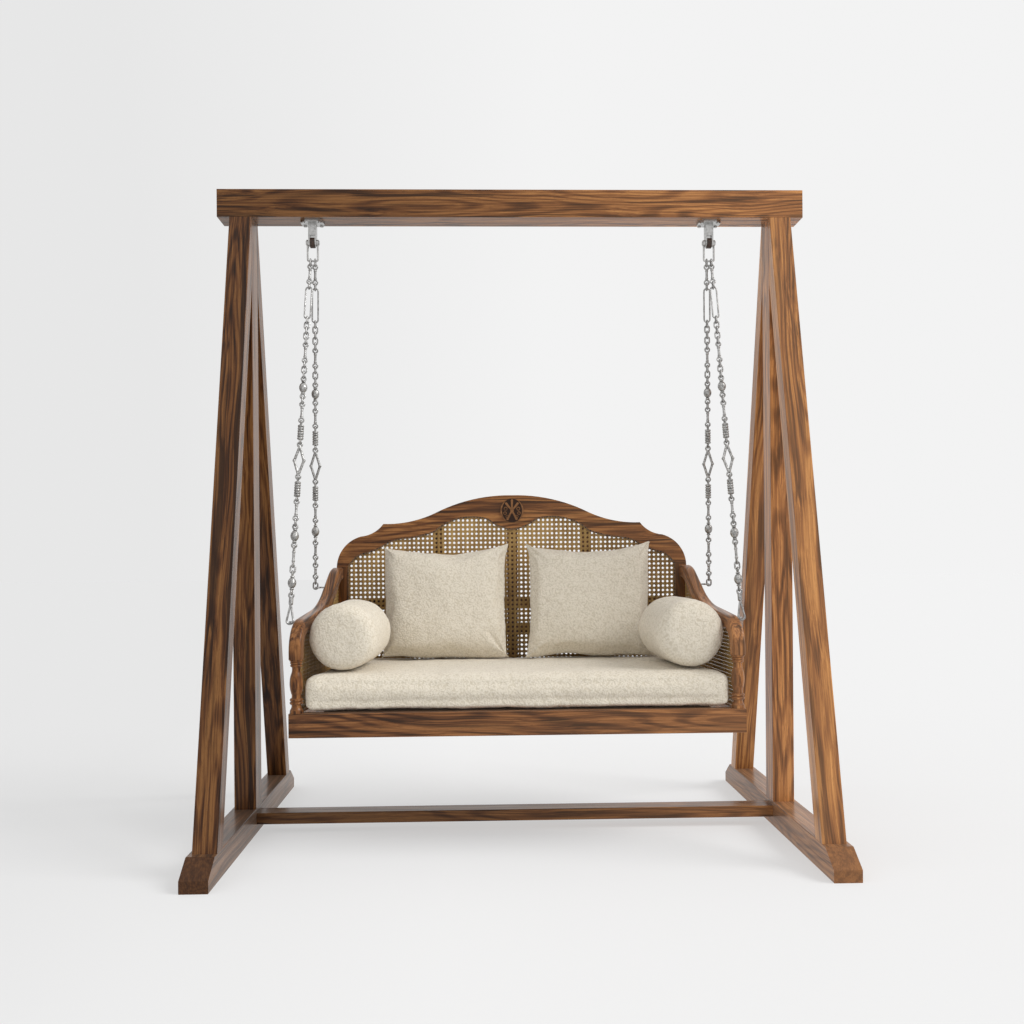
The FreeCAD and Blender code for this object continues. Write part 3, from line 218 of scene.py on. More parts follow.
# Wood noise: its scale along the grain and across it, its detail and its roughness.
HILLS = (0.8, 8.0, 1.5, 0.4)
BROAD = (0.4, 13.0, 2.0, 0.5)
STREAKS = (0.8, 70.0, 3.0, 0.6)
THREADS = (1.3, 210.0, 3.0, 0.65)
VEINS = (0.5, 48.0, 3.0, 0.6)
GOLD = (0.9, 30.0, 3.0, 0.6)
FIBRES = (10.0, 640.0, 2.0, 0.6)
PORES = (40.0, 1150.0, 1.0, 0.5)

# How the grain sways, how many contours its hills have, and how much each layer adds to the figure.
SWAY_STRETCH = (0.75, 4, 4)
SWAY_SCALE = 1.9
SWAY_REACH = (0.0, 0.06, 0.06)
CONTOUR_COUNT = 120.0
CONTOUR_SHARE = 0.22
BROAD_SHARE = 0.25
STREAK_SHARE = 0.23
THREAD_SHARE = 0.30
TONE_PLACES = (0.20, 0.38, 0.55, 0.77)
GOLD_SHARE = 0.55
VEIN_SHARE = 0.8
PIT_SHARE = 0.6

# Sawn ends: the facing from which they show, how far they cover the grain, and their rings.
SAWN_FACING = (0.15, 0.35)
SAWN_SHARE = 0.72
RING_STREAK_SHARE = 0.35
RING_THREAD_SHARE = 0.3

# The polish on the timber, as values for the shader's own sockets.
POLISH = {
    "Specular IOR Level": 0.16,
    "Coat Weight": 0.35,
    "Coat IOR": 1.25,
    "Coat Roughness": 0.16,
    "Sheen Weight": 0.3,
    "Sheen Roughness": 0.32,
    "Sheen Tint": (1.0, 0.74, 0.56, 1),
}

# Turns that lay a member's length along the grain; the legs lean by their run over their height.
ALONG_X = (0, 0, 0)
ALONG_Y = (0, 0, -math.pi / 2)
ALONG_Z = (0, math.pi / 2, 0)
LEG_RUN = 0.45
LEG_HEIGHT = 1.92


def along_arm(g, place):
    """Places shifted so that straight grain follows the arm: up its front, then along its bends."""
    x, y, z = (g.add("SeparateXYZ", {0: place}, out=axis) for axis in range(3))
    run = BACK_FACE + POST_LINE
    rise = ARM_REAR_LEVEL - ARM_BASE
    level = z
    for (start, low), (end, high) in zip(ARM_LINE_SHARES[1:3], ARM_LINE_SHARES[2:4]):
        climb = g.span(y, start * run - POST_LINE, end * run - POST_LINE, 0.0, (high - low) * rise)
        level = g.math("SUBTRACT", level, climb)
    upright = g.span(y, ARM_HALF_DEPTH - POST_LINE, ARM_GRAIN_TURN - POST_LINE, 1.0, 0.0)
    level = g.math("MULTIPLY", level, g.math("SUBTRACT", 1.0, upright))
    across = g.math("SUBTRACT", level, g.math("MULTIPLY", y, upright))
    length = g.math("ADD", y, g.math("MULTIPLY", g.math("SUBTRACT", z, y), upright))
    return g.add("CombineXYZ", {0: x, 1: length, 2: across})


def wood(name, turn, seed, tones, cast, follow=None):
    """Polished timber with its grain along a member: streaks, dark veins and swirling figure."""
    light, middle, deep, dark = tones
    g = Graph(name)
    place = g.add("TexCoord", out="Object")
    side = g.span(g.add("SeparateXYZ", {0: place}), -CAST_REACH, CAST_REACH)
    if follow:
        place = follow(g, place)
    shift = (seed * 3.17, seed * 0.37 + 0.11, seed * 0.23 - 0.09)
    along = g.add("Mapping", {"Vector": place, "Rotation": turn, "Location": shift})
    slow = g.add("Mapping", {"Vector": along, "Scale": SWAY_STRETCH})
    sway = g.drift(slow, SWAY_SCALE, 2.5, SWAY_REACH)
    bent = g.add("VectorMath", {0: along, 1: sway}, operation="ADD")

    def layer(way, across, detail, rough):
        return g.stretched(bent, (way, across, across), detail, rough)

    contours = g.math("SINE", g.math("MULTIPLY", layer(*HILLS), CONTOUR_COUNT))
    contours = g.span(contours, -1.0, 0.3)
    broad = g.span(layer(*BROAD), 0.33, 0.67)
    streaks = g.span(layer(*STREAKS), 0.36, 0.64)
    threads = g.span(layer(*THREADS), 0.38, 0.62)
    veins = g.span(layer(*VEINS), 0.585, 0.64)
    gold = g.span(layer(*GOLD), 0.56, 0.68)
    fibres = layer(*FIBRES)
    pits = g.span(layer(*PORES), 0.64, 0.72)

    figure = g.math("MULTIPLY", contours, CONTOUR_SHARE)
    for part, share in ((broad, BROAD_SHARE), (streaks, STREAK_SHARE), (threads, THREAD_SHARE)):
        figure = g.math("ADD", figure, g.math("MULTIPLY", part, share))
    colour = g.ramp(figure, zip(TONE_PLACES, (dark, deep, middle, light)))
    colour = g.blend(g.math("MULTIPLY", gold, GOLD_SHARE), colour, (*light, 1))
    colour = g.blend(g.math("MULTIPLY", veins, VEIN_SHARE), colour, (*dark, 1))
    colour = g.blend(g.span(fibres, 0.35, 0.75, 0.0, 0.35), colour, (*deep, 1))
    colour = g.blend(g.math("MULTIPLY", pits, PIT_SHARE), colour, (*dark, 1))
    if not follow:
        way = Euler(turn).to_matrix()[0]
        normal = g.add("TexCoord", out="Normal")
        facing = g.add("VectorMath", {0: normal, 1: way}, operation="DOT_PRODUCT", out="Value")
        sawn = g.span(g.math("ABSOLUTE", facing), *SAWN_FACING, 0.0, SAWN_SHARE)
        rings = g.math("MULTIPLY", streaks, RING_STREAK_SHARE)
        rings = g.math("ADD", rings, g.math("MULTIPLY", threads, RING_THREAD_SHARE))
        colour = g.blend(sawn, colour, g.ramp(rings, ((0.0, deep), (0.7, middle))))
    # Painted light and shade: darker towards the left end and paler towards the right, where the key
    # light falls.
    painted_light = g.math("POWER", side, CAST_POWER)
    factor = g.span(painted_light, 0.0, 1.0, *cast)
    colour = g.add("VectorMath", {0: colour, "Scale": factor}, operation="SCALE")
    colour = g.blend(g.math("MULTIPLY", painted_light, PAINTED_LIGHT_SHARE), colour, PAINTED_LIGHT_TONE)

    rough = g.span(streaks, 0.0, 1.0, 0.42, 0.3)
    height = g.math("SUBTRACT", g.math("MULTIPLY", fibres, 0.35), pits)
    return g.finish(colour, rough, height, 0.3, 0.3 * MM, POLISH)


# Tones of the cane, and the carving's painted shade and light, dark to light.
CANE_TONES = ((0.23, 0.12, 0.03), (0.43, 0.255, 0.078), (0.64, 0.42, 0.145))
CARVED_SHADING_TONES = ((0.012, 0.005, 0.003), (0.09, 0.035, 0.014), (0.27, 0.125, 0.05))


def cane_material():
    """Glossy split cane, paler and darker from strand to strand."""
    g = Graph("cane")
    place = g.add("TexCoord", out="Object")
    broad = g.noise(place, 5.0, 2.0)
    strand = g.stretched(place, (130, 130, 9), 2.0, 0.6)
    fine = g.noise(place, 900.0, 2.0, 0.6)
    mix = g.math("ADD", g.math("MULTIPLY", broad, 0.45), g.math("MULTIPLY", strand, 0.55))
    colour = g.ramp(mix, zip((0.3, 0.5, 0.7), CANE_TONES))
    colour = g.blend(g.span(fine, 0.5, 0.8, 0.0, 0.3), colour, (0.17, 0.095, 0.04, 1))
    return g.finish(colour, g.span(strand, 0.3, 0.7, 0.5, 0.36), fine, 0.25, 0.2 * MM)


def spline_material():
    """The split reed that holds the weave, with the peg holes beside it painted dark as shade."""
    g = Graph("spline")
    place = g.add("TexCoord", out="Object")
    pegs = g.add("TexVoronoi", {"Vector": place, "Scale": 105.0, "Randomness": 0.25})
    # Painted shade: the peg holes are dark spots of colour, with no hollow in the mesh.
    hole_shade = g.span(pegs, 0.30, 0.42, 1.0, 0.0)
    colour = g.blend(hole_shade, (0.20, 0.11, 0.045, 1), (0.02, 0.01, 0.006, 1))
    return g.finish(colour, 0.5)


# Loop-pile cloth: its tones, how far its loops curl, and how high they stand.
LOOP_PALE = (0.765, 0.70, 0.585)
LOOP_SHADE = (0.61, 0.545, 0.43)
CLUMP_TONE = (0.69, 0.615, 0.49, 1)
LOOP_CURL = (16 * MM, 16 * MM, 16 * MM)
LOOP_RELIEF = 1.6 * MM


def boucle_material():
    """Cream loop-pile cloth: small curled loops with soft shade between them."""
    g = Graph("boucle")
    place = g.add("TexCoord", out="Object")
    curl = g.drift(place, 70.0, 2.0, LOOP_CURL)
    bent = g.add("VectorMath", {0: place, 1: curl}, operation="ADD")
    loops = {"Vector": bent, "Scale": 175.0, "Smoothness": 0.5}
    loops = g.add("TexVoronoi", loops, feature="SMOOTH_F1")
    yarn = g.noise(bent, 560.0, 3.0, 0.6)
    clumps = g.noise(place, 42.0, 3.0, 0.55)
    mound = g.span(loops, 0.05, 0.75, 1.0, 0.0)
    height = g.math("ADD", mound, g.math("MULTIPLY", yarn, 0.3))
    height = g.math("ADD", height, g.math("MULTIPLY", clumps, 0.3))
    lit = g.math("MULTIPLY", mound, g.span(yarn, 0.2, 0.7, 0.8, 1.0))
    colour = g.ramp(lit, ((0.0, LOOP_SHADE), (0.5, LOOP_PALE)))
    colour = g.blend(g.span(clumps, 0.35, 0.7, 0.12, 0.0), colour, CLUMP_TONE)
    nap = {"Sheen Weight": 0.2, "Sheen Roughness": 0.5}
    return g.finish(colour, g.span(yarn, 0.3, 0.7, 0.98, 0.88), height, 0.75, LOOP_RELIEF, nap)


# Metal tones, bright and dull.
ZINC_TONES = ((0.56, 0.555, 0.545), (0.26, 0.257, 0.25))
SILVER_TONES = ((0.55, 0.545, 0.535), (0.17, 0.167, 0.163))
CAST_SILVER_TONES = ((0.58, 0.575, 0.56), (0.16, 0.157, 0.152))


def metal(name, bright, dull, rough, grain, relief, cast=0.0):
    """Worn metal: dull in the hollows, brighter where hands and links rub it."""
    g = Graph(name)
    place = g.add("TexCoord", out="Object")
    stain = g.noise(place, 140.0, 4.0, 0.6)
    knobs = {"Vector": place, "Scale": grain, "Smoothness": 0.4}
    knobs = g.add("TexVoronoi", knobs, feature="SMOOTH_F1")
    fine = g.noise(place, 1400.0, 2.0, 0.6)
    hollow = g.span(knobs, 0.25, 0.75)
    spots = g.span(stain, 0.38, 0.7, 0.0, 0.6)
    age = g.math("ADD", spots, g.math("MULTIPLY", hollow, cast), clamp=True)
    colour = g.blend(age, (*bright, 1), (*dull, 1))
    height = g.math("SUBTRACT", g.math("MULTIPLY", fine, 0.3), g.math("MULTIPLY", knobs, 1.0 + cast))
    gloss = g.math("ADD", g.math("MULTIPLY", age, 0.25), rough)
    return g.finish(colour, gloss, height, relief, 0.5 * MM, {"Metallic": 1.0})


def bush_material():
    """Dark worn moulding."""
    g = Graph("bush")
    place = g.add("TexCoord", out="Object")
    wear = g.noise(place, 220.0, 4.0, 0.6)
    colour = g.ramp(wear, ((0.35, (0.022, 0.012, 0.008)), (0.7, (0.075, 0.038, 0.022))))
    return g.finish(colour, g.span(wear, 0.3, 0.7, 0.42, 0.62), wear, 0.3, 0.4 * MM)


def carved_shading_material(low, high):
    """Carved wood with painted light and shade: bright where it stands proud towards the front, dark as
    painted shade where it is cut back.
    """
    g = Graph("carved")
    place = g.add("TexCoord", out="Object")
    depth = g.add("SeparateXYZ", {0: place}, out=1)
    # Painted light and shade by depth: the proud parts lighter, the recesses darker.
    relief_shading = g.span(depth, high, low)
    grain = g.stretched(place, (8, 90, 90), 4.0, 0.6)
    colour = g.ramp(relief_shading, zip((0.2, 0.6, 0.95), CARVED_SHADING_TONES))
    colour = g.blend(g.span(grain, 0.45, 0.7, 0.0, 0.5), colour, (0.03, 0.012, 0.006, 1))
    return g.finish(colour, 0.4, grain, 0.2, 0.3 * MM, {"Specular IOR Level": 0.2})


def dress(material, *names):
    """Give CAD nodes a material."""
    for name in names:
        nodes[name].data.materials.clear()
        nodes[name].data.materials.append(material)
        for slot in nodes[name].material_slots:
            slot.material = material


# Widths of the rounded edges, and the angle from which an edge counts as sharp.
RAIL_EDGE = 6 * MM
CREST_EDGE = 4 * MM
HIDDEN_RAIL_EDGE = 2.5 * MM
SLAT_EDGE = 1.5 * MM
SPLINE_EDGE = 1.8 * MM
BRACKET_EDGE = 1.2 * MM
FINE_EDGE = 0.8 * MM
SHARP_ANGLE = math.radians(35)


def softened(name, width, segments=2):
    """Round the sharp edges that show on a CAD node."""
    bevel = nodes[name].modifiers.new("softened", "BEVEL")
    bevel.width = width
    bevel.segments = segments
    bevel.limit_method = "ANGLE"
    bevel.angle_limit = SHARP_ANGLE
    bevel.harden_normals = False


def new_piece(name, mesh, material, body):
    """A visible piece that rides on a CAD body."""
    piece = bpy.data.objects.new(name, mesh)
    bpy.context.scene.collection.objects.link(piece)
    mesh.materials.clear()
    mesh.materials.append(material)
    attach(piece, body)
    return piece


def mesh_from(name, points, faces, smooth=True):
    mesh = bpy.data.meshes.new(name)
    mesh.from_pydata(points, [], faces)
    mesh.update()
    if smooth:
        mesh.shade_smooth()
    return mesh


def dress_wood():
    """Every timber member gets grain along its own length and its own streaks."""
    leg_tilt = math.atan2(LEG_RUN, LEG_HEIGHT)
    members = (
        ("top_beam", ALONG_X, BROWN_TONES, STAND_CAST),
        ("right_post", ALONG_Z, BROWN_TONES, STAND_CAST),
        ("left_post", ALONG_Z, BROWN_TONES, STAND_CAST),
        ("right_front_leg", (leg_tilt, math.pi / 2, 0), GOLDEN_TONES, STAND_CAST),
        ("left_front_leg", (leg_tilt, math.pi / 2, 0), BROWN_TONES, STAND_CAST),
        ("right_rear_leg", (-leg_tilt, math.pi / 2, 0), GOLDEN_TONES, STAND_CAST),
        ("left_rear_leg", (-leg_tilt, math.pi / 2, 0), BROWN_TONES, STAND_CAST),
        ("right_foot_sill", ALONG_Y, BROWN_TONES, LOW_CAST),
        ("left_foot_sill", ALONG_Y, BROWN_TONES, LOW_CAST),
        ("stretcher", ALONG_X, BROWN_TONES, LOW_CAST),
        ("front_rail", ALONG_X, RUSSET_TONES, BENCH_CAST),
        ("rear_rail", ALONG_X, BROWN_TONES, EVEN_CAST),
        ("right_side_rail", ALONG_Y, BROWN_TONES, EVEN_CAST),
        ("left_side_rail", ALONG_Y, BROWN_TONES, EVEN_CAST),
        ("seat_bearers", ALONG_Y, SHADED_TONES, EVEN_CAST),
        ("seat_slats", ALONG_X, SHADED_TONES, EVEN_CAST),
        ("crest_rail", ALONG_X, BROWN_TONES, CREST_CAST),
        ("right_stile", ALONG_Z, DARK_TONES, EVEN_CAST),
        ("left_stile", ALONG_Z, DARK_TONES, EVEN_CAST),
        ("back_lower_rail", ALONG_X, DARK_TONES, EVEN_CAST),
        ("back_muntins", ALONG_Z, SHADED_TONES, EVEN_CAST),
        ("back_cross_rails", ALONG_X, SHADED_TONES, EVEN_CAST),
        ("crest_rosette", ALONG_X, DARK_TONES, EVEN_CAST),
        ("right_arm_post", ALONG_Z, BROWN_TONES, BENCH_CAST),
        ("left_arm_post", ALONG_Z, BROWN_TONES, BENCH_CAST),
        ("right_armrest", ALONG_Y, RUSSET_TONES, BENCH_CAST),
        ("left_armrest", ALONG_Y, RUSSET_TONES, BENCH_CAST),
    )
    for seed, (name, turn, tones, cast) in enumerate(members):
        follow = along_arm if "armrest" in name else None
        dress(wood("wood_" + name, turn, seed, tones, cast, follow), name)
    softened("front_rail", RAIL_EDGE, 3)
    for name in ("right_side_rail", "left_side_rail", "rear_rail", "back_lower_rail"):
        softened(name, HIDDEN_RAIL_EDGE)
    for name in ("seat_slats", "seat_bearers", "back_muntins", "back_cross_rails"):
        softened(name, SLAT_EDGE)
    softened("crest_rail", CREST_EDGE, 3)
    softened("crest_rosette", FINE_EDGE)
    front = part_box("crest_rosette")[0][1]
    dress(carved_shading_material(front, front + ROSETTE_RELIEF), "crest_rosette")


def dress_metal():
    zinc = metal("zinc", *ZINC_TONES, 0.28, 500.0, 0.12)
    silver = metal("silver", *SILVER_TONES, 0.26, 300.0, 0.45, 0.4)
    cast_silver = metal("cast_silver", *CAST_SILVER_TONES, 0.32, 230.0, 0.8, 0.5)
    for side in ("right", "left"):
        dress(zinc, side + "_hanger_bracket", side + "_hanger_pin", side + "_shackle")
        dress(bush_material(), side + "_hanger_bush")
        for row in ("front", "rear"):
            dress(silver, f"{side}_{row}_chain_rings", f"{side}_{row}_chain_rods")
            dress(cast_silver, f"{side}_{row}_chain_ornaments")
        dress(silver, side + "_front_hook")
        softened(side + "_hanger_bracket", BRACKET_EDGE)
        softened(side + "_hanger_pin", FINE_EDGE)
    dress(zinc, "hanger_screws")
    dress(silver, "eye_bolts")


# Woven cane. Pairs of strands cross at a pitch, and slanting strands pass between the crossings, so
# that eight-sided holes are left.
CANE_PITCH = 15.7 * MM
SIDE_CANE_PITCH = 11.5 * MM
PAIR_OFFSET = 1.9 * MM
PAIR_WIDTH = 3.7 * MM
SLANT_WIDTH = 3.3 * MM
STRAND_THICK = 0.7 * MM
CANE_TUCK = 8 * MM

# Section of a strand: corners as shares of its half width and of its thickness.
STRAND_SHARES = ((-1, 0), (-0.45, -0.5), (0.45, -0.5), (1, 0), (0.45, 0.5), (-0.45, 0.5))


def crossings(outline, point, way):
    """Stretches of a straight line that lie inside a closed outline, as pairs of distances."""
    hits = []
    for (x1, y1), (x2, y2) in zip(outline, outline[1:] + outline[:1]):
        first = (x1 - point[0]) * way[1] - (y1 - point[1]) * way[0]
        second = (x2 - point[0]) * way[1] - (y2 - point[1]) * way[0]
        if (first > 0) == (second > 0):
            continue
        share = first / (first - second)
        x = x1 + (x2 - x1) * share - point[0]
        y = y1 + (y2 - y1) * share - point[1]
        hits.append(x * way[0] + y * way[1])
    hits.sort()
    return zip(hits[::2], hits[1::2])


def strand_lines(outline, pitch):
    """Every strand of the weave: a point, a direction, a width and a layer from front to back."""
    xs = [x for x, _ in outline]
    ys = [y for _, y in outline]
    half = math.sqrt(0.5)
    low, high = int(min(xs) / pitch) - 2, int(max(xs) / pitch) + 2
    for column in range(low, high + 1):
        for side in (-PAIR_OFFSET, PAIR_OFFSET):
            yield ((column + 0.5) * pitch + side, 0), (0, 1), PAIR_WIDTH, 1
    low, high = int(min(ys) / pitch) - 2, int(max(ys) / pitch) + 2
    for row in range(low, high + 1):
        for side in (-PAIR_OFFSET, PAIR_OFFSET):
            yield (0, (row + 0.5) * pitch + side), (1, 0), PAIR_WIDTH, 2
    reach = int((max(xs) - min(xs) + max(ys)) / pitch) + 2
    for step in range(-reach, reach + 1):
        offset = (step + 0.5) * pitch
        yield (offset, 0), (half, half), SLANT_WIDTH, 0
        yield (offset, 0), (-half, half), SLANT_WIDTH, 3


def woven(name, outline, place, material, pitch=CANE_PITCH):
    """Strands laid over the outline; place turns (across, up, depth) into a point."""
    points = []
    faces = []
    for point, way, width, layer in strand_lines(outline, pitch):
        depth = (layer - 1.5) * STRAND_THICK
        side = (-way[1] * width / 2, way[0] * width / 2)
        for start, end in crossings(outline, point, way):
            first = len(points)
            for reach in (start - CANE_TUCK, end + CANE_TUCK):
                x, y = point[0] + way[0] * reach, point[1] + way[1] * reach
                for across, bulge in STRAND_SHARES:
                    spot = (x + side[0] * across, y + side[1] * across)
                    points.append(place(*spot, depth + bulge * STRAND_THICK))
            count = len(STRAND_SHARES)
            for i in range(count):
                j = (i + 1) % count
                faces.append((first + i, first + j, first + count + j, first + count + i))
    return new_piece(name, mesh_from(name, points, faces), material, BENCH)


def arc_through(start, middle, end, steps):
    """Points of the circle arc through three points, without the first."""
    (ax, ay), (bx, by), (cx, cy) = start, middle, end
    twice = 2 * (ax * (by - cy) + bx * (cy - ay) + cx * (ay - by))
    a, b, c = ax * ax + ay * ay, bx * bx + by * by, cx * cx + cy * cy
    ox = (a * (by - cy) + b * (cy - ay) + c * (ay - by)) / twice
    oy = (a * (cx - bx) + b * (ax - cx) + c * (bx - ax)) / twice
    radius = math.hypot(ax - ox, ay - oy)
    first = math.atan2(ay - oy, ax - ox)
    turn = math.remainder(math.atan2(cy - oy, cx - ox) - first, 2 * math.pi)
    angles = [first + turn * step / steps for step in range(1, steps + 1)]
    return [(ox + radius * math.cos(angle), oy + radius * math.sin(angle)) for angle in angles]


def back_outline():
    """The opening of the back as (x, z) points."""
    rise = CREST_HEIGHT - SHOULDER_HEIGHT
    right = [(STILE_INNER, LOWER_RAIL_TOP), (STILE_INNER, SHOULDER_HEIGHT)]
    for middle, end in CREST_INNER_SHARES:
        shares = [(BACK_HALF * x, SHOULDER_HEIGHT + rise * z) for x, z in (middle, end)]
        right += arc_through(right[-1], *shares, 8)
    left = [(-x, z) for x, z in reversed(right) if x > 0]
    return right + left


def arm_local(side):
    """A point of an arm's own frame, which starts at the arm post, carried to its place."""
    turn = Matrix.Rotation(side * ARM_FLARE, 4, "Z")
    move = Matrix.Translation((side * ARM_FRONT_HALF, -POST_LINE, 0))
    matrix = move @ turn

    def place(x, y, depth):
        return matrix @ Vector((side * depth, x, y))

    return place


def side_outline():
    """The space under an arm as (along, up) points."""
    run = (BACK_FACE + POST_LINE) / math.cos(ARM_FLARE)
    rise = ARM_REAR_LEVEL - ARM_BASE
    line = [(run * back, ARM_BASE + rise * up) for back, up in ARM_LINE_SHARES]
    top = [(max(x, ARM_HALF_DEPTH), z - ARM_HALF_DEPTH) for x, z in line[1:]]
    last = (run, top[-1][1])
    return [(ARM_HALF_DEPTH, SEAT_HEIGHT), (run, SEAT_HEIGHT), last, *reversed(top[:-1])]


def weave_panels():
    material = cane_material()
    middle = CANE_FACE + CANE_THICK / 2

    def upright(x, y, depth):
        return Vector((x, middle + depth, y))

    back = woven("back_weave", back_outline(), upright, material)
    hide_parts("back_cane")
    for side, name in ((1, "right"), (-1, "left")):
        panel = woven(name + "_side_weave", side_outline(), arm_local(side), material, SIDE_CANE_PITCH)
        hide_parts(name + "_side_cane")
    dress(spline_material(), "cane_spline")
    softened("cane_spline", SPLINE_EDGE, 3)


def corners_of(mesh):
    xs, ys, zs = zip(*(v.co for v in mesh.vertices))
    return Vector((min(xs), min(ys), min(zs))), Vector((max(xs), max(ys), max(zs)))


def baked(piece):
    """The piece's mesh with its modifiers applied."""
    graph = bpy.context.evaluated_depsgraph_get()
    return bpy.data.meshes.new_from_object(piece.evaluated_get(graph))


# The covers' cloth in its pressure run, and how long the run is.
PRESSURE = 2.5
CLOTH_MASS = 0.25
CLOTH_STIFFNESS = 18.0
BENDING_STIFFNESS = 0.6
CUSHION_FRAMES = 12
PILLOW_FRAMES = 14


def blown(mesh, frames, most):
    """The mesh after a short cloth run under pressure, with no gravity and no point moved too far."""
    scene = bpy.context.scene
    trial = bpy.data.objects.new("trial", mesh)
    scene.collection.objects.link(trial)
    cloth = trial.modifiers.new("cloth", "CLOTH")
    settings = cloth.settings
    settings.quality = 6
    settings.mass = CLOTH_MASS
    settings.tension_stiffness = CLOTH_STIFFNESS
    settings.compression_stiffness = CLOTH_STIFFNESS
    settings.shear_stiffness = CLOTH_STIFFNESS / 3
    settings.bending_stiffness = BENDING_STIFFNESS
    settings.use_pressure = True
    settings.uniform_pressure_force = PRESSURE
    settings.effector_weights.gravity = 0
    cloth.point_cache.frame_end = frames
    for step in range(1, frames + 1):
        scene.frame_set(step)
    result = baked(trial)
    scene.frame_set(1)
    for before, after in zip(mesh.vertices, result.vertices):
        move = after.co - before.co
        if move.length > most:
            after.co = before.co + move * (most / move.length)
    bpy.data.objects.remove(trial)
    return result


def lumpy(mesh, size, height, seed):
    """Push a soft mesh in and out a little, as hand-filled cushions are."""
    moves = []
    for vertex in mesh.vertices:
        place = vertex.co / size + Vector((seed * 7.3, seed * 3.1, seed * 5.7))
        moves.append(vertex.normal * (noise.noise(place) * height))
    for vertex, move in zip(mesh.vertices, moves):
        vertex.co += move
    mesh.update()


def smoothed(mesh):
    """The mesh subdivided once, smoothly."""
    trial = bpy.data.objects.new("trial", mesh)
    bpy.context.scene.collection.objects.link(trial)
    modifier = trial.modifiers.new("smooth", "SUBSURF")
    modifier.levels = 1
    result = baked(trial)
    bpy.data.objects.remove(trial)
    result.shade_smooth()
    return result


# Pillow: how wide, high and thick it is sewn, how far its seams are drawn in, and its cells.
PILLOW_CUT = (0.452, 0.418)
PILLOW_THICK = 0.148
PILLOW_CELLS = (56, 52)
PILLOW_DRAW_SIDE = 0.05
PILLOW_DRAW_TOP = 0.13
PILLOW_DRAW_BOTTOM = 0.02
PILLOW_SWELL_POWER = 0.46
PILLOW_SAG = 0.14
FOLD_REACH = 0.075
FOLD_HEIGHT = 0.0045
FOLD_COUNT = 9
PILLOW_MOST_BLOWN = 0.012
PILLOW_LUMPS = (0.13, 0.009)
PILLOW_CREASES = (0.03, 0.0018)


def pillow_point(u, v, side, seed):
    """A point of a filled pillow, for shares from -1 to 1 across and up one face."""
    draw_up = PILLOW_DRAW_TOP if v > 0 else PILLOW_DRAW_BOTTOM
    x = u * (1 - PILLOW_DRAW_SIDE * (1 - v * v) * u * u) * PILLOW_CUT[0] / 2
    z = v * (1 - draw_up * (1 - u * u) * v * v) * PILLOW_CUT[1] / 2
    swell = max(0, (1 - u * u) * (1 - v * v)) ** PILLOW_SWELL_POWER * (1 - PILLOW_SAG * v)
    fold = 0
    for corner, (cu, cv) in enumerate(((-1, -1), (1, -1), (1, 1), (-1, 1))):
        across = abs(cu - u) * PILLOW_CUT[0] / 2
        up = abs(cv - v) * PILLOW_CUT[1] / 2
        far = math.hypot(across, up)
        turn = math.atan2(up, across) * FOLD_COUNT + seed * 1.7 + corner * 2.1 + side
        fold += math.cos(turn) * math.exp(-far / FOLD_REACH) * min(1, swell * 3)
    return x, side * (swell * PILLOW_THICK / 2 + fold * FOLD_HEIGHT), z


def pillow_form(seed):
    """Two faces sewn at their edges and filled, upright in the XZ plane."""
    across, up = PILLOW_CELLS
    bm = bmesh.new()
    grid = {}
    for side in (-1, 1):
        for i in range(across + 1):
            for j in range(up + 1):
                seam = i in (0, across) or j in (0, up)
                key = (i, j, 0 if seam else side)
                if key not in grid:
                    u = math.sin((i / across - 0.5) * math.pi)
                    v = math.sin((j / up - 0.5) * math.pi)
                    grid[key] = bm.verts.new(pillow_point(u, v, 0 if seam else side, seed))
    for side in (-1, 1):
        for i in range(across):
            for j in range(up):
                corners = ((i, j), (i + 1, j), (i + 1, j + 1), (i, j + 1))
                loop = [grid.get((a, b, side)) or grid[(a, b, 0)] for a, b in corners]
                bm.faces.new(loop if side < 0 else loop[::-1])
    mesh = bpy.data.meshes.new("pillow_form")
    bm.to_mesh(mesh)
    bm.free()
    lumpy(mesh, *PILLOW_LUMPS, seed)
    return blown(mesh, PILLOW_FRAMES, PILLOW_MOST_BLOWN)


def pillow(name, seed):
    mesh = smoothed(pillow_form(seed))
    low, high = corners_of(mesh)
    size = high - low
    node_low, node_high = (Vector(corner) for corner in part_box(name))
    shrink = min(1, (node_high.x - node_low.x) / size.x)
    flatten = min(1, PILLOW_THICK / size.y)
    for vertex in mesh.vertices:
        vertex.co = Vector((vertex.co.x * shrink, vertex.co.y * flatten, vertex.co.z * shrink))
    lumpy(mesh, *PILLOW_CREASES, seed + 3)
    mesh.transform(Matrix.Rotation(-PILLOW_LEAN, 4, "X"))
    low, high = corners_of(mesh)
    middle = (node_low.x + node_high.x - low.x - high.x) / 2
    mesh.transform(Matrix.Translation((middle, node_high.y - high.y, node_low.z - low.z)))
    mesh.update()
    return mesh


def remeshed(node, cell):
    """A copy of a soft CAD solid with an even mesh."""
    trial = bpy.data.objects.new("trial", nodes[node].data.copy())
    bpy.context.scene.collection.objects.link(trial)
    modifier = trial.modifiers.new("even", "REMESH")
    modifier.mode = "VOXEL"
    modifier.voxel_size = cell
    even = trial.modifiers.new("smooth", "SMOOTH")
    even.factor = 0.5
    even.iterations = 2
    result = baked(trial)
    bpy.data.objects.remove(trial)
    return result


# The part of a cushion's height and depth where its lower front edge is drawn forward.
HEM_SHARE = 0.30
HEM_DEPTH_SHARE = 0.14

# Seat cushion and bolsters: the cells of their even mesh, how far they may be blown, and the hem.
CUSHION_CELL = 8 * MM
CUSHION_MOST_BLOWN = 4 * MM
CUSHION_HEM = 16 * MM
BOLSTER_CELL = 7 * MM
BOLSTER_MOST_BLOWN = 5 * MM

# Lumps and creases pushed into the soft meshes: how long and how high they are.
CUSHION_LUMPS = (0.11, 0.0035)
CUSHION_CREASES = (0.026, 0.0016)


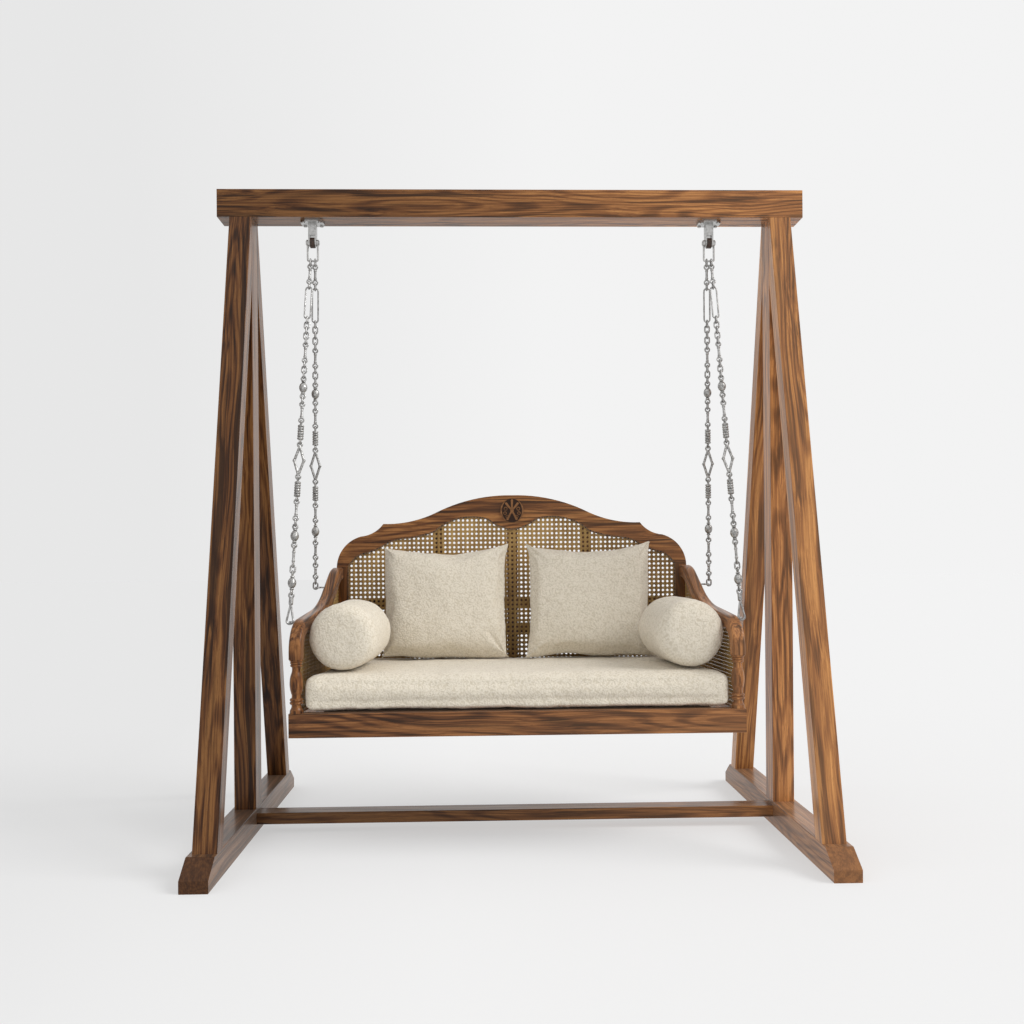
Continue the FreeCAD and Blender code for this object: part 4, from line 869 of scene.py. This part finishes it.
def cushion(node, cell, most, seed, hem=0.0):
    """A filled piece grown from its CAD solid, kept inside the solid's own box."""
    mesh = blown(remeshed(node, cell), CUSHION_FRAMES, most)
    lumpy(mesh, *CUSHION_LUMPS, seed)
    mesh = smoothed(mesh)
    lumpy(mesh, *CUSHION_CREASES, seed + 5)
    node_low, node_high = (Vector(corner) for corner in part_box(node))
    low, high = corners_of(mesh)
    for vertex in mesh.vertices:
        share = [(vertex.co[i] - low[i]) / (high[i] - low[i]) for i in range(3)]
        vertex.co = Vector([node_low[i] + share[i] * (node_high[i] - node_low[i]) for i in range(3)])
        if hem:
            droop = hem * max(0.0, 1 - share[2] / HEM_SHARE)
            near = max(0.0, 1 - share[1] / HEM_DEPTH_SHARE)
            vertex.co.y = max(node_low.y, vertex.co.y - droop * near)
    mesh.update()
    mesh.shade_smooth()
    return mesh


def upholster():
    material = boucle_material()
    pieces = {
        "seat_cushion": cushion("seat_cushion", CUSHION_CELL, CUSHION_MOST_BLOWN, 1, CUSHION_HEM),
        "right_bolster": cushion("right_bolster", BOLSTER_CELL, BOLSTER_MOST_BLOWN, 2),
        "left_bolster": cushion("left_bolster", BOLSTER_CELL, BOLSTER_MOST_BLOWN, 3),
        "left_pillow": pillow("left_pillow", 4),
        "right_pillow": pillow("right_pillow", 5),
    }
    for node, mesh in pieces.items():
        piece = new_piece(node + "_cover", mesh, material, BENCH)
        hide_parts(node)


# Studio: the light's level, the backdrop's levels from left to right and how far out they lie, the
# floor's tones and how far out they lie, its glow and its size, and the suns with their turns in
# degrees, strengths and spreads in degrees.
WORLD_LEVEL = 0.62
# Painted light: the backdrop's levels make it darker to the left, as light that falls off away from the
# key light.
BACKDROP_LEVELS = (0.80, 0.895)
BACKDROP_SPREAD = (-0.30, 0.06)
# Painted light: the floor's tones make it darker to the left, as light that falls off away from the key
# light.
FLOOR_TONES = ((0.298, 0.298, 0.298, 1), (0.387, 0.387, 0.387, 1))
FLOOR_SPREAD = (-1.7, -0.2)
FLOOR_GLOW = 0.475
FLOOR_SIZE = 60
SUNS = (
    ("key", (52, 0, 72), 2.0, 32),
    ("fill", (45, 0, -60), 0.35, 60),
)


def studio():
    """A white floor that runs into a white world, and broad soft light."""
    half = FLOOR_SIZE / 2
    points = [(-half, -half, 0), (half, -half, 0), (half, half, 0), (-half, half, 0)]
    floor = bpy.data.objects.new("floor", mesh_from("floor", points, [(0, 1, 2, 3)], smooth=False))
    bpy.context.scene.collection.objects.link(floor)
    g = Graph("floor")
    across = g.add("SeparateXYZ", {0: g.add("TexCoord", out="Object")})
    # Painted light: the floor's tone is darker towards the left, as the light falls off.
    tone = g.blend(g.span(across, *FLOOR_SPREAD), *FLOOR_TONES)
    plain = {"Specular IOR Level": 0.0, "Emission Strength": FLOOR_GLOW, "Emission Color": (1, 1, 1, 1)}
    floor.data.materials.append(g.finish(tone, 0.9, settings=plain))
    floor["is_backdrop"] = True

    world = bpy.data.worlds.new("studio")
    bpy.context.scene.world = world
    world.use_nodes = True
    tree = world.node_tree
    tree.nodes.clear()
    path = tree.nodes.new("ShaderNodeLightPath")
    seen = tree.nodes.new("ShaderNodeMath")
    seen.operation = "MAXIMUM"
    tree.links.new(path.outputs["Is Camera Ray"], seen.inputs[0])
    tree.links.new(path.outputs["Is Glossy Ray"], seen.inputs[1])
    light = tree.nodes.new("ShaderNodeBackground")
    light.inputs["Color"].default_value = (1, 1, 1, 1)
    light.inputs["Strength"].default_value = WORLD_LEVEL
    shown = tree.nodes.new("ShaderNodeBackground")
    shown.inputs["Color"].default_value = (1, 1, 1, 1)
    spot = tree.nodes.new("ShaderNodeTexCoord")
    parts = tree.nodes.new("ShaderNodeSeparateXYZ")
    tree.links.new(spot.outputs["Generated"], parts.inputs[0])
    # Painted light: the backdrop is darker towards the left, as the light falls off.
    fade = tree.nodes.new("ShaderNodeMapRange")
    ends = (*BACKDROP_SPREAD, *BACKDROP_LEVELS)
    for name, value in zip(("From Min", "From Max", "To Min", "To Max"), ends):
        fade.inputs[name].default_value = value
    tree.links.new(parts.outputs["X"], fade.inputs["Value"])
    tree.links.new(fade.outputs[0], shown.inputs["Strength"])
    mix = tree.nodes.new("ShaderNodeMixShader")
    tree.links.new(seen.outputs[0], mix.inputs[0])
    tree.links.new(light.outputs[0], mix.inputs[1])
    tree.links.new(shown.outputs[0], mix.inputs[2])
    output = tree.nodes.new("ShaderNodeOutputWorld")
    tree.links.new(mix.outputs[0], output.inputs[0])

    for name, turn, strength, spread in SUNS:
        lamp = bpy.data.lights.new(name, "SUN")
        lamp.energy = strength
        lamp.angle = math.radians(spread)
        sun = bpy.data.objects.new(name, lamp)
        sun.rotation_euler = Euler([math.radians(angle) for angle in turn])
        bpy.context.scene.collection.objects.link(sun)


def camera():
    """The photograph's view."""
    data = bpy.data.cameras.new("camera")
    data.sensor_width = SENSOR_WIDTH
    data.lens = CAMERA_FOCAL_PIXELS / IMAGE_WIDTH * SENSOR_WIDTH
    data.shift_y = CAMERA_HORIZON_DROP / IMAGE_WIDTH
    data.clip_end = 200
    eye = bpy.data.objects.new("camera", data)
    eye.location = CAMERA_PLACE
    eye.rotation_euler = (math.pi / 2, CAMERA_ROLL, -CAMERA_YAW)
    bpy.context.scene.collection.objects.link(eye)
    bpy.context.scene.camera = eye
    bpy.context.scene.view_settings.view_transform = "Standard"


camera()
studio()
dress_wood()
dress_metal()
weave_panels()
upholster()

scene_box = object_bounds()
boxes = {"cad": cad_box, "scene": scene_box}
{key: [list(map(float, corner)) for corner in box] for key, box in boxes.items()}
